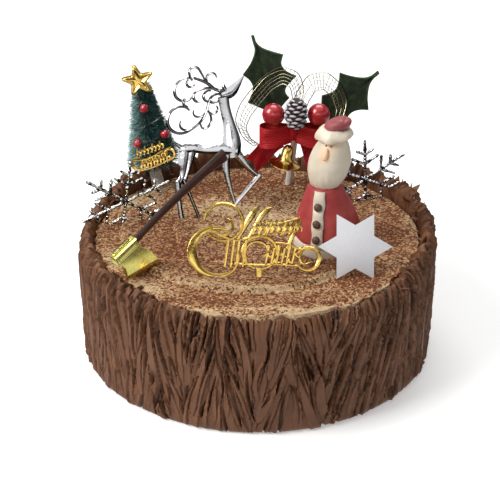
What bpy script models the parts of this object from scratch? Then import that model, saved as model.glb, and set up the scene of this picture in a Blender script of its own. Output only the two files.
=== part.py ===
"""A round yule log cake: bark of chocolate cream, a combed cream top, and festive picks and figures on it.

Blender 4.5. Sizes below are in millimetres and become metres where a mesh is made. +Z is up, the origin
is the centre of the cake's flat base, and -Y is the front.
"""

import math

import bmesh
import bpy
import numpy as np
from mathutils import Euler, Matrix, Vector

MM = 0.001
GAP = 0.3                  # clearance between neighbouring pieces

# The cake
SURFACE = 54.5             # nominal height of the top cream
BARK_RADIUS = 78.8         # the bark's grooves; its ridges stand up to 2.4 proud of them
CREAM_RADIUS = 72.3
RECESS_FLOOR = 48.0        # the top cream lies in a recess of the chocolate cream
SHOULDER = 8.0             # height over which the bark rounds in towards its crest
BARK_COLUMNS = 144
BARK_LEVELS = (0.0, 0.05, 0.19, 0.34, 0.49, 0.64, 0.79, 0.91)

# Height of the bark's crest round the cake, as (degrees from +X, height, ruggedness)
CREST = (
    (-180, 56.2, 0.3), (-160, 57.5, 0.6), (-140, 56.0, 0.7), (-122, 54.2, 0.4), (-100, 52.9, 0.12),
    (-70, 52.7, 0.12), (-48, 53.6, 0.2), (-30, 57.0, 0.5), (-10, 60.0, 0.8), (12, 61.5, 1.0),
    (24, 62.5, 1.0), (38, 61.0, 0.9), (55, 61.0, 0.8), (80, 58.5, 0.6), (95, 58.5, 0.6),
    (107, 62.0, 0.9), (122, 59.0, 0.7), (145, 61.0, 0.9), (160, 58.0, 0.6), (180, 56.2, 0.3),
)

# The spatula's spiral over the top cream
SPIRAL_START = -120.0      # degrees from +X
SPIRAL_RADIUS = 56.0
SPIRAL_PITCH = 24.0
SPIRAL_STEP = 1.5

# Feet of the picks and figures on the cream, as x, y
SANTA_AT = (31.5, -11.6)
TREE_AT = (-47.8, 51.0)
REINDEER_AT = (-20.0, 16.5)
HOLLY_AT = (17.6, 50.0)
PLAQUE_AT = (-0.3, -41.9)
STAR_AT = (41.0, -43.2)
AXE_AT = (-54.9, -42.8)
FLAKE_LEFT_HUB = (-59.2, 8.0, 65.5)
FLAKE_RIGHT_HUB = (50.6, 31.0, 66.1)


def clear_scene():
    for obj in list(bpy.data.objects):
        bpy.data.objects.remove(obj, do_unlink=True)


FINISHES = {
    "chocolate_cream": ((0.20, 0.10, 0.06), 0.55, 0.0),
    "coffee_cream": ((0.55, 0.40, 0.26), 0.6, 0.0),
    "dark_chocolate": ((0.10, 0.05, 0.03), 0.35, 0.0),
    "white_chocolate": ((0.82, 0.77, 0.66), 0.4, 0.0),
    "red_chocolate": ((0.42, 0.05, 0.06), 0.4, 0.0),
    "chrome": ((0.85, 0.86, 0.88), 0.12, 1.0),
    "gold": ((0.85, 0.62, 0.18), 0.18, 1.0),
    "red_gloss": ((0.60, 0.01, 0.03), 0.2, 0.0),
    "red_ribbon": ((0.62, 0.01, 0.03), 0.5, 0.0),
    "gold_net": ((0.75, 0.66, 0.42), 0.35, 1.0),
    "holly_felt": ((0.04, 0.12, 0.03), 0.9, 0.0),
    "green_wire": ((0.05, 0.16, 0.05), 0.6, 0.0),
    "pine_bristle": ((0.02, 0.16, 0.13), 0.7, 0.0),
    "pine_cone": ((0.10, 0.07, 0.07), 0.7, 0.0),
    "silver_foil": ((0.62, 0.62, 0.62), 0.35, 0.6),
    "dark_handle": ((0.06, 0.03, 0.025), 0.35, 0.0),
    "white_plastic": ((0.75, 0.74, 0.70), 0.4, 0.0),
    "white_card": ((0.80, 0.80, 0.82), 0.35, 0.0),
}


def finish_of(name):
    """A Principled material, made once and shared."""
    found = bpy.data.materials.get(name)
    if found:
        return found
    colour, roughness, metallic = FINISHES[name]
    made = bpy.data.materials.new(name)
    made.use_nodes = True
    shader = made.node_tree.nodes["Principled BSDF"]
    shader.inputs["Base Color"].default_value = (*colour, 1.0)
    shader.inputs["Roughness"].default_value = roughness
    shader.inputs["Metallic"].default_value = metallic
    made.diffuse_color = (*colour, 1.0)
    return made


def frame_at(name, at, height=SURFACE, turn=0.0, lean=0.0, roll=0.0):
    """An empty that carries one pick or figure: rolled to its right, leaning back, then turned about Z."""
    empty = bpy.data.objects.new(name, None)
    bpy.context.scene.collection.objects.link(empty)
    empty.location = Vector((at[0], at[1], height)) * MM
    rolled = Matrix.Rotation(math.radians(roll), 3, "Y")
    leaning = Matrix.Rotation(math.radians(-lean), 3, "X")
    facing = Matrix.Rotation(math.radians(turn), 3, "Z")
    empty.rotation_euler = (facing @ leaning @ rolled).to_euler()
    return empty


def mesh_of(name, points, faces):
    mesh = bpy.data.meshes.new(name)
    mesh.from_pydata([tuple(float(c) * MM for c in p) for p in points], [], faces)
    mesh.validate()
    shape = bmesh.new()
    shape.from_mesh(mesh)
    bmesh.ops.recalc_face_normals(shape, faces=shape.faces)
    shape.to_mesh(mesh)
    shape.free()
    return mesh


def place(name, mesh, finish, parent=None, smooth=40.0):
    obj = bpy.data.objects.new(name, mesh)
    bpy.context.scene.collection.objects.link(obj)
    mesh.materials.clear()
    mesh.materials.append(finish_of(finish))
    mesh.shade_smooth()
    mesh.set_sharp_from_angle(angle=math.radians(smooth))
    obj.parent = parent
    return obj


def piece(name, shape, finish, parent=None, smooth=40.0):
    """One closed shape as a node of its own."""
    return place(name, mesh_of(name, *shape), finish, parent, smooth)


def loft(rings):
    """Points and faces of a closed skin over rings of equal count, closed by a quad or a fan at each end."""
    count = len(rings[0])
    points = [tuple(p) for ring in rings for p in ring]
    faces = []
    for row in range(len(rings) - 1):
        for i in range(count):
            j = (i + 1) % count
            a, b = row * count, (row + 1) * count
            faces.append((a + i, a + j, b + j, b + i))
    for ring, start, turned in ((rings[0], 0, True), (rings[-1], (len(rings) - 1) * count, False)):
        if count == 4:
            corners = tuple(range(start, start + 4))
            faces.append(corners[::-1] if turned else corners)
            continue
        points.append(tuple(np.mean(np.array(ring, float), axis=0)))
        hub = len(points) - 1
        for i in range(count):
            j = (i + 1) % count
            faces.append((hub, start + j, start + i) if turned else (hub, start + i, start + j))
    return points, faces


def circle(radius, z, sides, centre=(0.0, 0.0), wobble=None):
    ring = []
    for i in range(sides):
        angle = 2 * math.pi * i / sides
        r = radius * (wobble(angle) if wobble else 1.0)
        ring.append((centre[0] + r * math.cos(angle), centre[1] + r * math.sin(angle), z))
    return ring


def turned(profile, sides):
    """A solid of revolution over (radius, height) pairs, from the bottom up."""
    return loft([circle(r, z, sides) for r, z in profile])


DIAMOND = ((1, 0), (0, 1), (-1, 0), (0, -1))
BAR = ((1, 0.7), (-1, 0.7), (-1, -0.7), (1, -0.7))
RIDGED = ((1, 0), (0.45, 0.8), (-0.45, 0.8), (-1, 0), (-0.45, -0.8), (0.45, -0.8))


def stroke(path, half_widths, half_depth, section=DIAMOND):
    """A bar that follows a path in the local XZ plane, half_widths wide there and half_depth deep."""
    path = np.array(path, float)
    widths = np.interp(np.linspace(0, 1, len(path)), np.linspace(0, 1, len(half_widths)), half_widths)
    along = np.gradient(path, axis=0)
    along /= np.linalg.norm(along, axis=1)[:, None]
    rings = []
    for point, direction, half in zip(path, along, widths):
        across = (-direction[1], direction[0])
        depth = half_depth * min(1.0, 0.35 + half / max(widths))
        rings.append([
            (point[0] + a * half * across[0], b * depth, point[1] + a * half * across[1])
            for a, b in section
        ])
    return loft(rings)


def arc(centre, radius, start, end, steps, end_radius=None):
    """Points of a circular arc or a scroll in the local XZ plane, angles in degrees."""
    last = radius if end_radius is None else end_radius
    return [
        (
            centre[0] + r * math.cos(math.radians(a)),
            centre[1] + r * math.sin(math.radians(a)),
        )
        for a, r in zip(np.linspace(start, end, steps), np.linspace(radius, last, steps))
    ]


def joined(name, shapes, finish, parent=None, smooth=30.0):
    """One closed solid from overlapping closed shapes, by one Boolean union on a collection."""
    group = bpy.data.collections.new(name + "_pieces")
    bpy.context.scene.collection.children.link(group)
    for number, (points, faces) in enumerate(shapes[1:]):
        piece = bpy.data.objects.new(f"{name}_piece_{number}", mesh_of(name + "_piece", points, faces))
        group.objects.link(piece)
    base = bpy.data.objects.new(name + "_base", mesh_of(name + "_base", *shapes[0]))
    bpy.context.scene.collection.objects.link(base)
    union = base.modifiers.new("Union", "BOOLEAN")
    union.operation = "UNION"
    union.operand_type = "COLLECTION"
    union.collection = group
    union.solver = "MANIFOLD"
    bpy.context.view_layer.update()
    graph = bpy.context.evaluated_depsgraph_get()
    mesh = bpy.data.meshes.new_from_object(base.evaluated_get(graph))
    for piece in [*group.objects, base]:
        bpy.data.objects.remove(piece, do_unlink=True)
    bpy.data.collections.remove(group)
    mesh.name = name
    return place(name, mesh, finish, parent, smooth)


def moved(shape, offset=(0, 0, 0), matrix=None):
    points, faces = shape
    turn = matrix or Matrix.Identity(3)
    return [tuple((turn @ Vector(p)) + Vector(offset)) for p in points], faces


def thin_sheet(grid, thickness):
    """A thin closed solid on a grid of points, both faces split into triangles alike."""
    grid = np.array(grid, float)
    rows, columns, _ = grid.shape
    du = np.gradient(grid, axis=0)
    dv = np.gradient(grid, axis=1)
    normal = np.cross(du, dv)
    normal /= np.linalg.norm(normal, axis=2)[:, :, None]
    front = (grid + normal * thickness / 2).reshape(-1, 3)
    back = (grid - normal * thickness / 2).reshape(-1, 3)
    points = [tuple(p) for p in np.concatenate([front, back])]
    offset = rows * columns
    faces = []
    for r in range(rows - 1):
        for c in range(columns - 1):
            a, b = r * columns + c, r * columns + c + 1
            d, e = a + columns, b + columns
            for tri in ((a, d, e), (a, e, b)):
                faces.append(tri)
                faces.append(tuple(offset + i for i in reversed(tri)))
    border = (
        [(0, c) for c in range(columns)]
        + [(r, columns - 1) for r in range(1, rows)]
        + [(rows - 1, c) for c in range(columns - 2, -1, -1)]
        + [(r, 0) for r in range(rows - 2, 0, -1)]
    )
    for (r0, c0), (r1, c1) in zip(border, border[1:] + border[:1]):
        a, b = r0 * columns + c0, r1 * columns + c1
        faces += [(a, b, offset + b), (a, offset + b, offset + a)]
    return points, faces


def pocket(group, name, shape, parent):
    """A cutter that clears the top cream round a foot. It isn't part of the cake."""
    cutter = bpy.data.objects.new(name, mesh_of(name, *shape))
    group.objects.link(cutter)
    cutter.parent = parent
    cutter.hide_render = True
    cutter.display_type = "WIRE"
    return cutter


def box(low, high):
    (x0, y0, z0), (x1, y1, z1) = low, high
    return loft([
        [(x0, y0, z0), (x1, y0, z0), (x1, y1, z0), (x0, y1, z0)],
        [(x0, y0, z1), (x1, y0, z1), (x1, y1, z1), (x0, y1, z1)],
    ])


# The cake: bark and top cream


def smooth_noise(angle, seed, waves):
    """A seeded sum of waves round the cake, about -1 to 1."""
    rng = np.random.default_rng(seed)
    total = np.zeros_like(angle)
    for count in waves:
        total += rng.uniform(0.5, 1.0) * np.sin(count * angle + rng.uniform(0, 2 * math.pi))
    return total / (0.75 * len(waves))


def bark_strokes(seed=11):
    """The spatula strokes of the bark, in three overlapping tiers.

    Each is (angle, slope, bottom, top, half width, height, side that its ridge leans to).
    """
    rng = np.random.default_rng(seed)
    tiers = ((-3.0, 33.0, 88), (10.0, 48.0, 84), (27.0, 66.0, 92))
    strokes = []
    for bottom, top, count in tiers:
        for i in range(count):
            angle = 2 * math.pi * (i + rng.uniform(-0.35, 0.35)) / count
            lean = 0.20 * math.sin(6 * angle + 0.4) + 0.16 * math.sin(13 * angle + 2.1)
            strokes.append((
                angle,
                lean + rng.normal(0, 0.07),
                bottom + rng.uniform(-5, 7),
                top + rng.uniform(-8, 5),
                rng.uniform(2.3, 3.7),
                rng.uniform(1.3, 2.4),
                rng.choice((-0.4, 0.4)),
            ))
    return strokes


def crest_of(angle):
    """Height of the bark's crest, with its torn tips."""
    degrees = np.degrees((angle + math.pi) % (2 * math.pi) - math.pi)
    table = np.array(CREST, float)
    height = np.interp(degrees, table[:, 0], table[:, 1])
    rugged = np.interp(degrees, table[:, 0], table[:, 2])
    rng = np.random.default_rng(5)
    tips = np.zeros_like(angle)
    for i in range(74):
        at = 2 * math.pi * (i + rng.uniform(-0.4, 0.4)) / 74
        away = np.abs((angle - at + math.pi) % (2 * math.pi) - math.pi) * BARK_RADIUS
        reach = rng.uniform(2.0, 4.6)
        tips = np.maximum(tips, rng.uniform(0.8, 4.6) * np.clip(1 - away / reach, 0, 1))
    return height + rugged * (tips - 1.2)


def bark_radius(angle, z, crest):
    """Radius of the bark at an angle and a height, both arrays, under that column's crest."""
    ridge = np.zeros_like(z)
    for at, slope, bottom, top, half, height, side in bark_strokes():
        away = (angle - at + math.pi) % (2 * math.pi) - math.pi
        share = (z - bottom) / (top - bottom)
        across = (away * BARK_RADIUS - slope * (z - (bottom + top) / 2)) / (half * (1.2 - 0.45 * share))
        from_crest = across - side
        fall = np.abs(from_crest / (1 - side * np.sign(from_crest)))
        blade = np.clip(1 - fall ** 1.7, 0, 1)
        taper = np.sqrt(np.clip(np.minimum(share / 0.12, (1 - share) / 0.16), 0, 1))
        ridge = np.maximum(ridge, height * blade * taper)
    round_in = np.clip(1 - (crest - z) / SHOULDER, 0, 1)
    foot = np.clip(1 - z / 2.5, 0, 1)
    wobble = 0.7 * smooth_noise(angle, 3, (2, 3, 5, 7))
    return BARK_RADIUS + wobble + ridge - 3.6 * round_in ** 2 - 1.0 * foot ** 2


def cut_pockets(obj, groups):
    for group in groups:
        cut = obj.modifiers.new(group.name, "BOOLEAN")
        cut.operation = "DIFFERENCE"
        cut.operand_type = "COLLECTION"
        cut.collection = group
        cut.solver = "MANIFOLD"


def bark_cream(flake_pockets):
    """The cake's body: flat base, combed bark side, torn crest, and the recess for the top cream."""
    angle = np.linspace(0, 2 * math.pi, BARK_COLUMNS, endpoint=False)
    crest = crest_of(angle)
    rings = []
    for share in BARK_LEVELS:
        z = share * crest
        radius = bark_radius(angle, z, crest)
        rings.append(np.stack([radius * np.cos(angle), radius * np.sin(angle), z], 1))
    rim = CREAM_RADIUS + 3.6 + 0.7 * smooth_noise(angle, 8, (9, 17, 31))
    inner = CREAM_RADIUS + GAP
    rings.append(np.stack([rim * np.cos(angle), rim * np.sin(angle), crest], 1))
    drop = np.maximum(crest - 3.0, RECESS_FLOOR + 2.0)
    rings.append(np.stack([(inner + 0.5) * np.cos(angle), (inner + 0.5) * np.sin(angle), drop], 1))
    floor = np.full_like(angle, RECESS_FLOOR)
    rings.append(np.stack([inner * np.cos(angle), inner * np.sin(angle), floor], 1))
    bark = piece("bark_cream", loft(rings), "chocolate_cream", smooth=50)
    cut_pockets(bark, [flake_pockets])


def cream_height(x, y):
    """Height of the top cream: the spatula's spiral, a gentle unevenness and a rounded edge."""
    radius = np.hypot(x, y)
    turn = ((np.degrees(np.arctan2(y, x)) - SPIRAL_START) % 360.0) / 360.0
    line = SPIRAL_RADIUS - SPIRAL_PITCH * turn
    inward = ((line - radius) / SPIRAL_PITCH) % 1.0
    step = np.where(inward < 0.92, np.clip(1 - inward / 0.92, 0, 1) ** 1.4, ((inward - 0.92) / 0.08) ** 2)
    centre = np.clip(radius / 8.0, 0, 1)
    uneven = 0.25 * np.sin(x / 9.0 + 0.6) * np.cos(y / 11.0) + 0.15 * np.sin(x / 4.3 - y / 5.1)
    edge = np.clip((radius - 67.5) / (CREAM_RADIUS - 67.5), 0, 1)
    return SURFACE - 0.8 + SPIRAL_STEP * step * centre + uneven - 1.5 * edge ** 2


def top_cream(pockets, flake_pockets):
    columns = 36
    radii = (6.0, 15.0, 24.0, 32.0, 39.0, 45.0, 51.0, 56.0, 62.0, 68.0, 71.0, CREAM_RADIUS)
    angle = np.linspace(0, 2 * math.pi, columns, endpoint=False)
    bottom = RECESS_FLOOR + GAP
    rings = [circle(CREAM_RADIUS, bottom, columns)]
    for radius in reversed(radii):
        x, y = radius * np.cos(angle), radius * np.sin(angle)
        rings.append(np.stack([x, y, cream_height(x, y)], 1))
    cream = piece("top_cream", loft(rings), "coffee_cream", smooth=50)
    cut_pockets(cream, [pockets, flake_pockets])


# Santa figure of coloured chocolate

HEM_RADIUS, HEM_HEIGHT = 15.6, 5.0
ROBE = ((14.9, 5.3), (14.4, 9.0), (12.6, 15.5), (10.2, 21.0), (8.7, 25.0), (7.4, 28.2))
HEAD_CENTRE, HEAD_WIDE, HEAD_TALL = 38.8, 9.1, 13.6
TRIM_LOW, TRIM_HIGH = 50.4, 54.8
PLACKET_TURN, FACE_TURN = -5.0, -1.0       # degrees about Z from the figure's own front


def robe_radius(height):
    heights = [z for _, z in ROBE]
    return float(np.interp(height, heights, [r for r, _ in ROBE]))


def swayed(shape):
    """The moulded figure isn't upright: its robe sways to the left and its head and hat back to the right."""
    points, faces = shape
    return [(x - 2.2 * min(z, 29.0) / 29.0 + 0.15 * max(0.0, z - 29.0), y, z) for x, y, z in points], faces


def santa(pockets):
    base = frame_at("santa", SANTA_AT, turn=-16.0)
    sink = 1.5
    hem = turned(
        (
            (HEM_RADIUS - 0.6, -sink), (HEM_RADIUS, 0.6), (HEM_RADIUS, 3.2),
            (HEM_RADIUS - 1.0, HEM_HEIGHT),
        ),
        28,
    )
    piece("santa_hem", hem, "white_chocolate", base)
    seat = turned(((HEM_RADIUS + 0.5, -sink - GAP), (HEM_RADIUS + 0.5, 6.0)), 28)
    pocket(pockets, "santa_pocket", seat, base)

    seat = [(radius, z) for radius, z in head_profile(GAP + 0.1) if radius < ROBE[-1][0] - 0.5]
    collar = [(radius, z) for radius, z in seat if z < HEAD_CENTRE]
    robe = [*ROBE, *reversed(collar)]
    piece("santa_robe", swayed(turned(robe, 22)), "red_chocolate", base)

    piece("santa_head", swayed(turned(head_profile(0.0), 20)), "white_chocolate", base)
    trim = turned(
        (
            (HEAD_WIDE - 3.0, TRIM_LOW), (HEAD_WIDE - 1.5, TRIM_LOW + 0.9), (HEAD_WIDE - 1.3, TRIM_LOW + 2.2),
            (HEAD_WIDE - 2.2, TRIM_HIGH - 1.0), (HEAD_WIDE - 3.6, TRIM_HIGH),
        ),
        22,
    )
    piece("santa_hat_trim", swayed(trim), "white_chocolate", base)
    rings = []
    for share in np.linspace(0, 1, 8):
        lean = 2.0 * share ** 1.3
        radius = 5.2 * math.sqrt(max(0.0, 1 - (share * 0.97) ** 2.2)) + 0.2
        rings.append(circle(radius, TRIM_HIGH + GAP + 5.2 * share - 0.8 * share * share, 16, (lean, 0.0)))
    piece("santa_hat", swayed(loft(rings)), "red_chocolate", base)

    front = math.radians(-90.0 + PLACKET_TURN)
    heights = np.linspace(5.6, 24.5, 7)
    grid = [
        [
            (
                (robe_radius(z) + GAP + 1.0) * math.cos(front + side / robe_radius(z)),
                (robe_radius(z) + GAP + 1.0) * math.sin(front + side / robe_radius(z)),
                z,
            )
            for side in (-2.3, 0.0, 2.3)
        ]
        for z in heights
    ]
    piece("santa_placket", swayed(thin_sheet(grid, 1.2)), "white_chocolate", base)
    slope = math.atan2(ROBE[0][0] - ROBE[-1][0], ROBE[-1][1] - ROBE[0][1])
    for number, z in enumerate((8.6, 15.3, 22.0)):
        button = turned(((1.9, 0.0), (1.7, 0.7), (0.9, 1.3)), 10)
        tilt = Euler((math.pi / 2 - slope, 0, 0)).to_matrix()
        sideways = Matrix.Rotation(math.radians(PLACKET_TURN), 3, "Z")
        offset = sideways @ Vector((0.0, -(robe_radius(z) + 2 * GAP + 1.9), z))
        placed = swayed(moved(button, offset, sideways @ tilt))
        piece(f"santa_button_{number + 1}", placed, "dark_chocolate", base)

    nose = turned(((0.5, -1.0), (1.35, -0.6), (1.5, 0.6), (1.1, 2.4), (0.5, 3.6)), 10)
    flat = Matrix.Diagonal((1.0, 0.62, 1.0))
    sideways = Matrix.Rotation(math.radians(FACE_TURN), 3, "Z")
    back = Matrix.Rotation(math.radians(-22.0), 3, "X")
    at = sideways @ Vector((0.0, -9.4, HEAD_CENTRE + 5.4))
    piece("santa_nose", swayed(moved(nose, at, sideways @ back @ flat)), "white_chocolate", base)


def head_profile(grow):
    """The egg of beard and face, under a flat crown that the hat's trim sits on, grown for a cutter."""
    wide, tall = HEAD_WIDE + grow, HEAD_TALL + grow
    crown = math.asin((TRIM_LOW - 0.3 - HEAD_CENTRE) / HEAD_TALL)
    return [
        (wide * math.cos(a) * (1.0 - 0.05 * math.sin(a)), HEAD_CENTRE + tall * math.sin(a))
        for a in np.linspace(-math.pi / 2 + 0.16, crown, 11)
    ]


# Bottle-brush tree

TREE_LOW, TREE_HIGH = 13.0, 51.0
TREE_WIDE, TREE_NARROW = 13.4, 4.6


def tree_radius(height):
    share = (height - TREE_LOW) / (TREE_HIGH - TREE_LOW)
    return TREE_WIDE + (TREE_NARROW - TREE_WIDE) * share


def tree(pockets):
    base = frame_at("tree", TREE_AT, turn=0.0)
    base.rotation_euler = Euler((0.0, -math.radians(7.0), 0.0))
    rng = np.random.default_rng(21)
    sides, levels = 18, 12
    rings = []
    for level, height in enumerate(np.linspace(TREE_LOW, TREE_HIGH, levels)):
        out = tree_radius(height) * (1.0 if level % 2 else 0.9)
        rings.append([
            (
                out * k * math.cos(2 * math.pi * (i + 0.5 * (level % 2)) / sides),
                out * k * math.sin(2 * math.pi * (i + 0.5 * (level % 2)) / sides),
                height - 1.4 * (k - 0.9),
            )
            for i, k in enumerate(rng.uniform(0.86, 1.06, sides))
        ])
    piece("tree_foliage", loft(rings), "pine_bristle", base, 20)
    trunk = turned(((2.6, -4.0), (2.9, 4.0), (2.7, TREE_LOW - GAP - 0.6)), 16)
    piece("tree_trunk", trunk, "silver_foil", base)
    pocket(pockets, "tree_pocket", turned(((3.4, -4.0 - GAP), (3.6, 5.0)), 16), base)

    star = star_prism(5, 7.4, 3.3, 1.9, 0.9)
    turn = Euler((0.0, math.radians(-7.0), math.radians(-6.0))).to_matrix()
    piece("tree_star", moved(star, (0.0, -TREE_NARROW - 2.6, 55.9), turn), "gold", base, 12)
    for number, (around, height) in enumerate(((-84.0, 41.0), (-118.0, 24.6), (-46.0, 27.4))):
        out = tree_radius(height) * 1.06 + 2.0
        a = math.radians(around)
        ball = turned([(2.5 * math.cos(t), 2.5 * math.sin(t)) for t in np.linspace(-1.4, 1.4, 6)], 10)
        at = (out * math.cos(a), out * math.sin(a), height)
        piece(f"tree_berry_{number + 1}", moved(ball, at), "red_gloss", base)

    scrolls = [
        stroke(arc((-6.4, 0.6), 2.9, 60, 330, 7, 2.4), (0.4, 0.9, 0.5), 0.6, BAR),
        stroke([(-9.5, -1.6), (-3.0, -2.6), (4.0, -2.0), (9.8, -0.6)], (0.5, 0.55, 0.5), 0.6, BAR),
        stroke([(-8.0, 2.8), (-2.5, 1.6), (3.5, 2.6), (9.2, 3.4)], (0.4, 0.55, 0.4), 0.6, BAR),
        stroke(arc((7.2, 0.6), 2.4, -110, 170, 7, 2.0), (0.4, 0.8, 0.4), 0.6, BAR),
    ]
    for x in (-3.2, 0.2, 3.4):
        scrolls.append(stroke([(x - 0.6, -2.8), (x, 0.0), (x + 0.8, 3.0)], (0.35, 0.75, 0.35), 0.6, BAR))
    tag = joined("tree_scroll", scrolls, "gold", base)
    tag.location = Vector((1.5, -TREE_WIDE - 2.6, 18.6)) * MM
    tag.rotation_euler = Euler((math.radians(-8.0), math.radians(-13.0), 0.0))


def star_prism(points, outer, inner, ridge, edge):
    """A faceted star in the XZ plane, standing on its edge, with a ridge at its middle front and back."""
    rim = []
    for i in range(2 * points):
        radius = inner if i % 2 else outer
        angle = math.pi / 2 + math.pi * i / points
        rim.append((radius * math.cos(angle), radius * math.sin(angle)))
    count = len(rim)
    shape = [(x, -edge, z) for x, z in rim] + [(x, edge, z) for x, z in rim]
    shape += [(0.0, -ridge, 0.0), (0.0, ridge, 0.0)]
    faces = []
    for i in range(count):
        j = (i + 1) % count
        faces.append((i, j, 2 * count))
        faces.append((count + j, count + i, 2 * count + 1))
        faces += [(i, count + i, count + j), (i, count + j, j)]
    return shape, faces


# Reindeer pick


def reindeer_limbs():
    """Body, neck, head and legs in the pick's own plane: x along it, z above the cream."""
    depth = 1.4
    back = [(-15.6, 34.6), (-11.0, 35.0), (-3.0, 33.0), (5.0, 32.5), (11.0, 31.0)]
    neck = [(9.4, 28.4), (9.0, 35.0), (8.0, 43.0), (6.2, 51.0), (5.2, 57.4)]
    return [
        stroke(back, (1.5, 2.6, 1.9, 3.2, 3.0), 2.2),
        stroke(neck, (3.9, 4.3, 2.9, 2.4, 2.6), 2.2),
        stroke([(4.4, 58.2), (8.2, 59.0), (11.6, 62.2), (14.6, 66.0)], (1.9, 2.8, 1.8, 0.6), 1.6),
        stroke([(6.6, 59.6), (5.4, 62.2), (5.0, 64.2)], (0.9, 0.9, 0.4), 0.9),
        stroke([(-13.0, 36.0), (-13.7, 28.0), (-14.1, 22.2), (-16.5, 17.8)], (3.0, 2.4, 1.4, 1.5), depth),
        stroke([(-16.6, 19.4), (-16.2, 10.4), (-14.8, -3.0)], (1.5, 1.15, 1.3), 1.2),
        stroke([(-9.5, 34.5), (-11.2, 26.0), (-13.5, 19.0)], (2.4, 1.4, 1.1), 1.2),
        stroke([(-14.0, 20.2), (-10.2, 9.5), (-6.0, -3.0)], (1.1, 0.8, 0.8), 1.0),
        stroke([(6.0, 30.5), (6.6, 20.0), (8.0, 13.0), (10.4, 4.0)], (2.2, 1.5, 1.1, 0.9), 1.2),
        stroke([(11.0, 29.4), (16.5, 22.2), (22.2, 16.4)], (2.4, 1.5, 1.2), 1.2),
        stroke([(22.6, 17.4), (10.0, 3.4)], (1.25, 0.9), 1.1),
        stroke([(-14.5, 35.6), (-18.4, 39.2)], (1.1, 0.5), 0.9),
    ]


def reindeer_antlers():
    """Antlers as a set of joined scrolls, each an arc that winds in to a curl."""
    depth = 0.85
    thin = (0.55, 0.85, 0.6)
    top_loop = [(-2.6, 64.8), (-4.6, 69.4), (-7.0, 72.4), (-9.6, 71.8), (-9.8, 68.6), (-8.8, 66.6)]
    eye_loop = [(5.4, 57.6), (2.6, 58.9), (-0.6, 57.4), (-0.8, 55.8), (2.2, 55.4), (5.2, 57.2)]
    low_loop = [(-2.6, 52.6), (-0.6, 49.0), (-1.2, 44.8), (-4.0, 43.4), (-5.8, 46.8)]
    return [
        stroke([(5.6, 60.2), (2.0, 61.0), (-2.2, 64.6), (-8.0, 67.6)], (0.9, 0.9, 0.75), depth),
        stroke(arc((-11.6, 61.8), 6.4, 62, 318, 9, 4.0), thin, depth),
        stroke(top_loop, (0.5, 0.8, 0.6), depth),
        stroke(arc((0.2, 66.6), 2.7, 215, 0, 6, 2.0), (0.6, 0.7, 0.4), depth),
        stroke(arc((-9.2, 65.4), 2.2, 130, 330, 5, 1.8), (0.6, 0.7, 0.4), depth),
        stroke([(4.8, 59.0), (2.0, 61.2), (-2.4, 62.2), (-6.0, 61.6)], (0.7, 0.8, 0.6), depth),
        stroke(arc((-5.6, 58.6), 3.1, 92, 275, 6, 2.4), thin, depth),
        stroke(arc((-1.2, 58.4), 2.6, 70, 290, 7), (0.5, 0.8, 0.6), depth),
        stroke(eye_loop, (0.7, 0.8, 0.7), depth),
        stroke([(-1.2, 56.2), (-3.0, 50.6), (-5.4, 46.8), (-9.8, 43.5)], (0.8, 0.8, 0.75), depth),
        stroke(arc((-14.2, 49.4), 7.3, -54, -318, 12, 5.2), (0.7, 1.0, 0.6), depth),
        stroke(arc((-11.8, 47.0), 3.6, -50, -205, 4, 3.0), (0.5, 0.7, 0.4), depth),
        stroke(low_loop, (0.6, 0.75, 0.5), depth),
        stroke(arc((0.6, 52.2), 2.5, 200, 400, 6, 1.9), (0.6, 0.7, 0.4), depth),
        stroke([(-11.2, 54.2), (-13.0, 56.2), (-12.4, 58.4)], (0.7, 0.7), depth),
        stroke(arc((-6.6, 52.2), 3.9, -15, -190, 6, 1.8), (0.5, 0.6, 0.4), depth),
    ]


def reindeer(pockets):
    base = frame_at("reindeer_pick", REINDEER_AT, turn=18.0)
    joined("reindeer", reindeer_limbs() + reindeer_antlers(), "chrome", base, 20)
    for name, x in (("near", -14.7), ("far", -6.2)):
        pocket(pockets, f"reindeer_pocket_{name}", box((x - 2.4, -2.2, -3.4), (x + 2.4, 2.2, 4.0)), base)


# Toy axe, its blade sunk in the cream

AXE_RISE = 24.0            # degrees that the handle climbs


def axe(pockets):
    base = frame_at("axe", AXE_AT, turn=45.0)
    rise = math.radians(AXE_RISE)
    along = (math.cos(rise), math.sin(rise))
    eye = (-0.4, 12.6)

    def at(forward, up):
        return (eye[0] + forward * along[0] - up * along[1], eye[1] + forward * along[1] + up * along[0])

    handle = [at(6.8, 0.0), at(20.0, 0.2), at(40.0, 0.2), at(63.0, 0.0)]
    shape = stroke(handle, (1.25, 1.3, 1.6, 2.3), 1.25, RIDGED)
    piece("axe_handle", shape, "dark_handle", base, 25)

    sections = (
        (at(-6.4, 2.3), at(6.4, 2.3), 1.9),
        (at(-6.4, -2.3), at(6.4, -2.3), 1.8),
        ((-1.2, 4.6), (12.6, 8.0), 1.2),
        ((-0.2, 0.6), (17.4, 2.4), 0.8),
        ((0.6, -3.0), (20.3, -2.2), 0.25),
    )
    rings = [
        [(x0, -half, z0), (x1, -half, z1), (x1, half, z1), (x0, half, z0)]
        for (x0, z0), (x1, z1), half in sections
    ]
    piece("axe_head", loft(rings), "gold", base, 15)
    pocket(pockets, "axe_pocket", box((-1.6, -1.9, -3.5), (21.4, 1.9, 5.0)), base)


# Holly pick: stick, leaves, berries, cone, bow, bell and net ribbon

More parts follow.
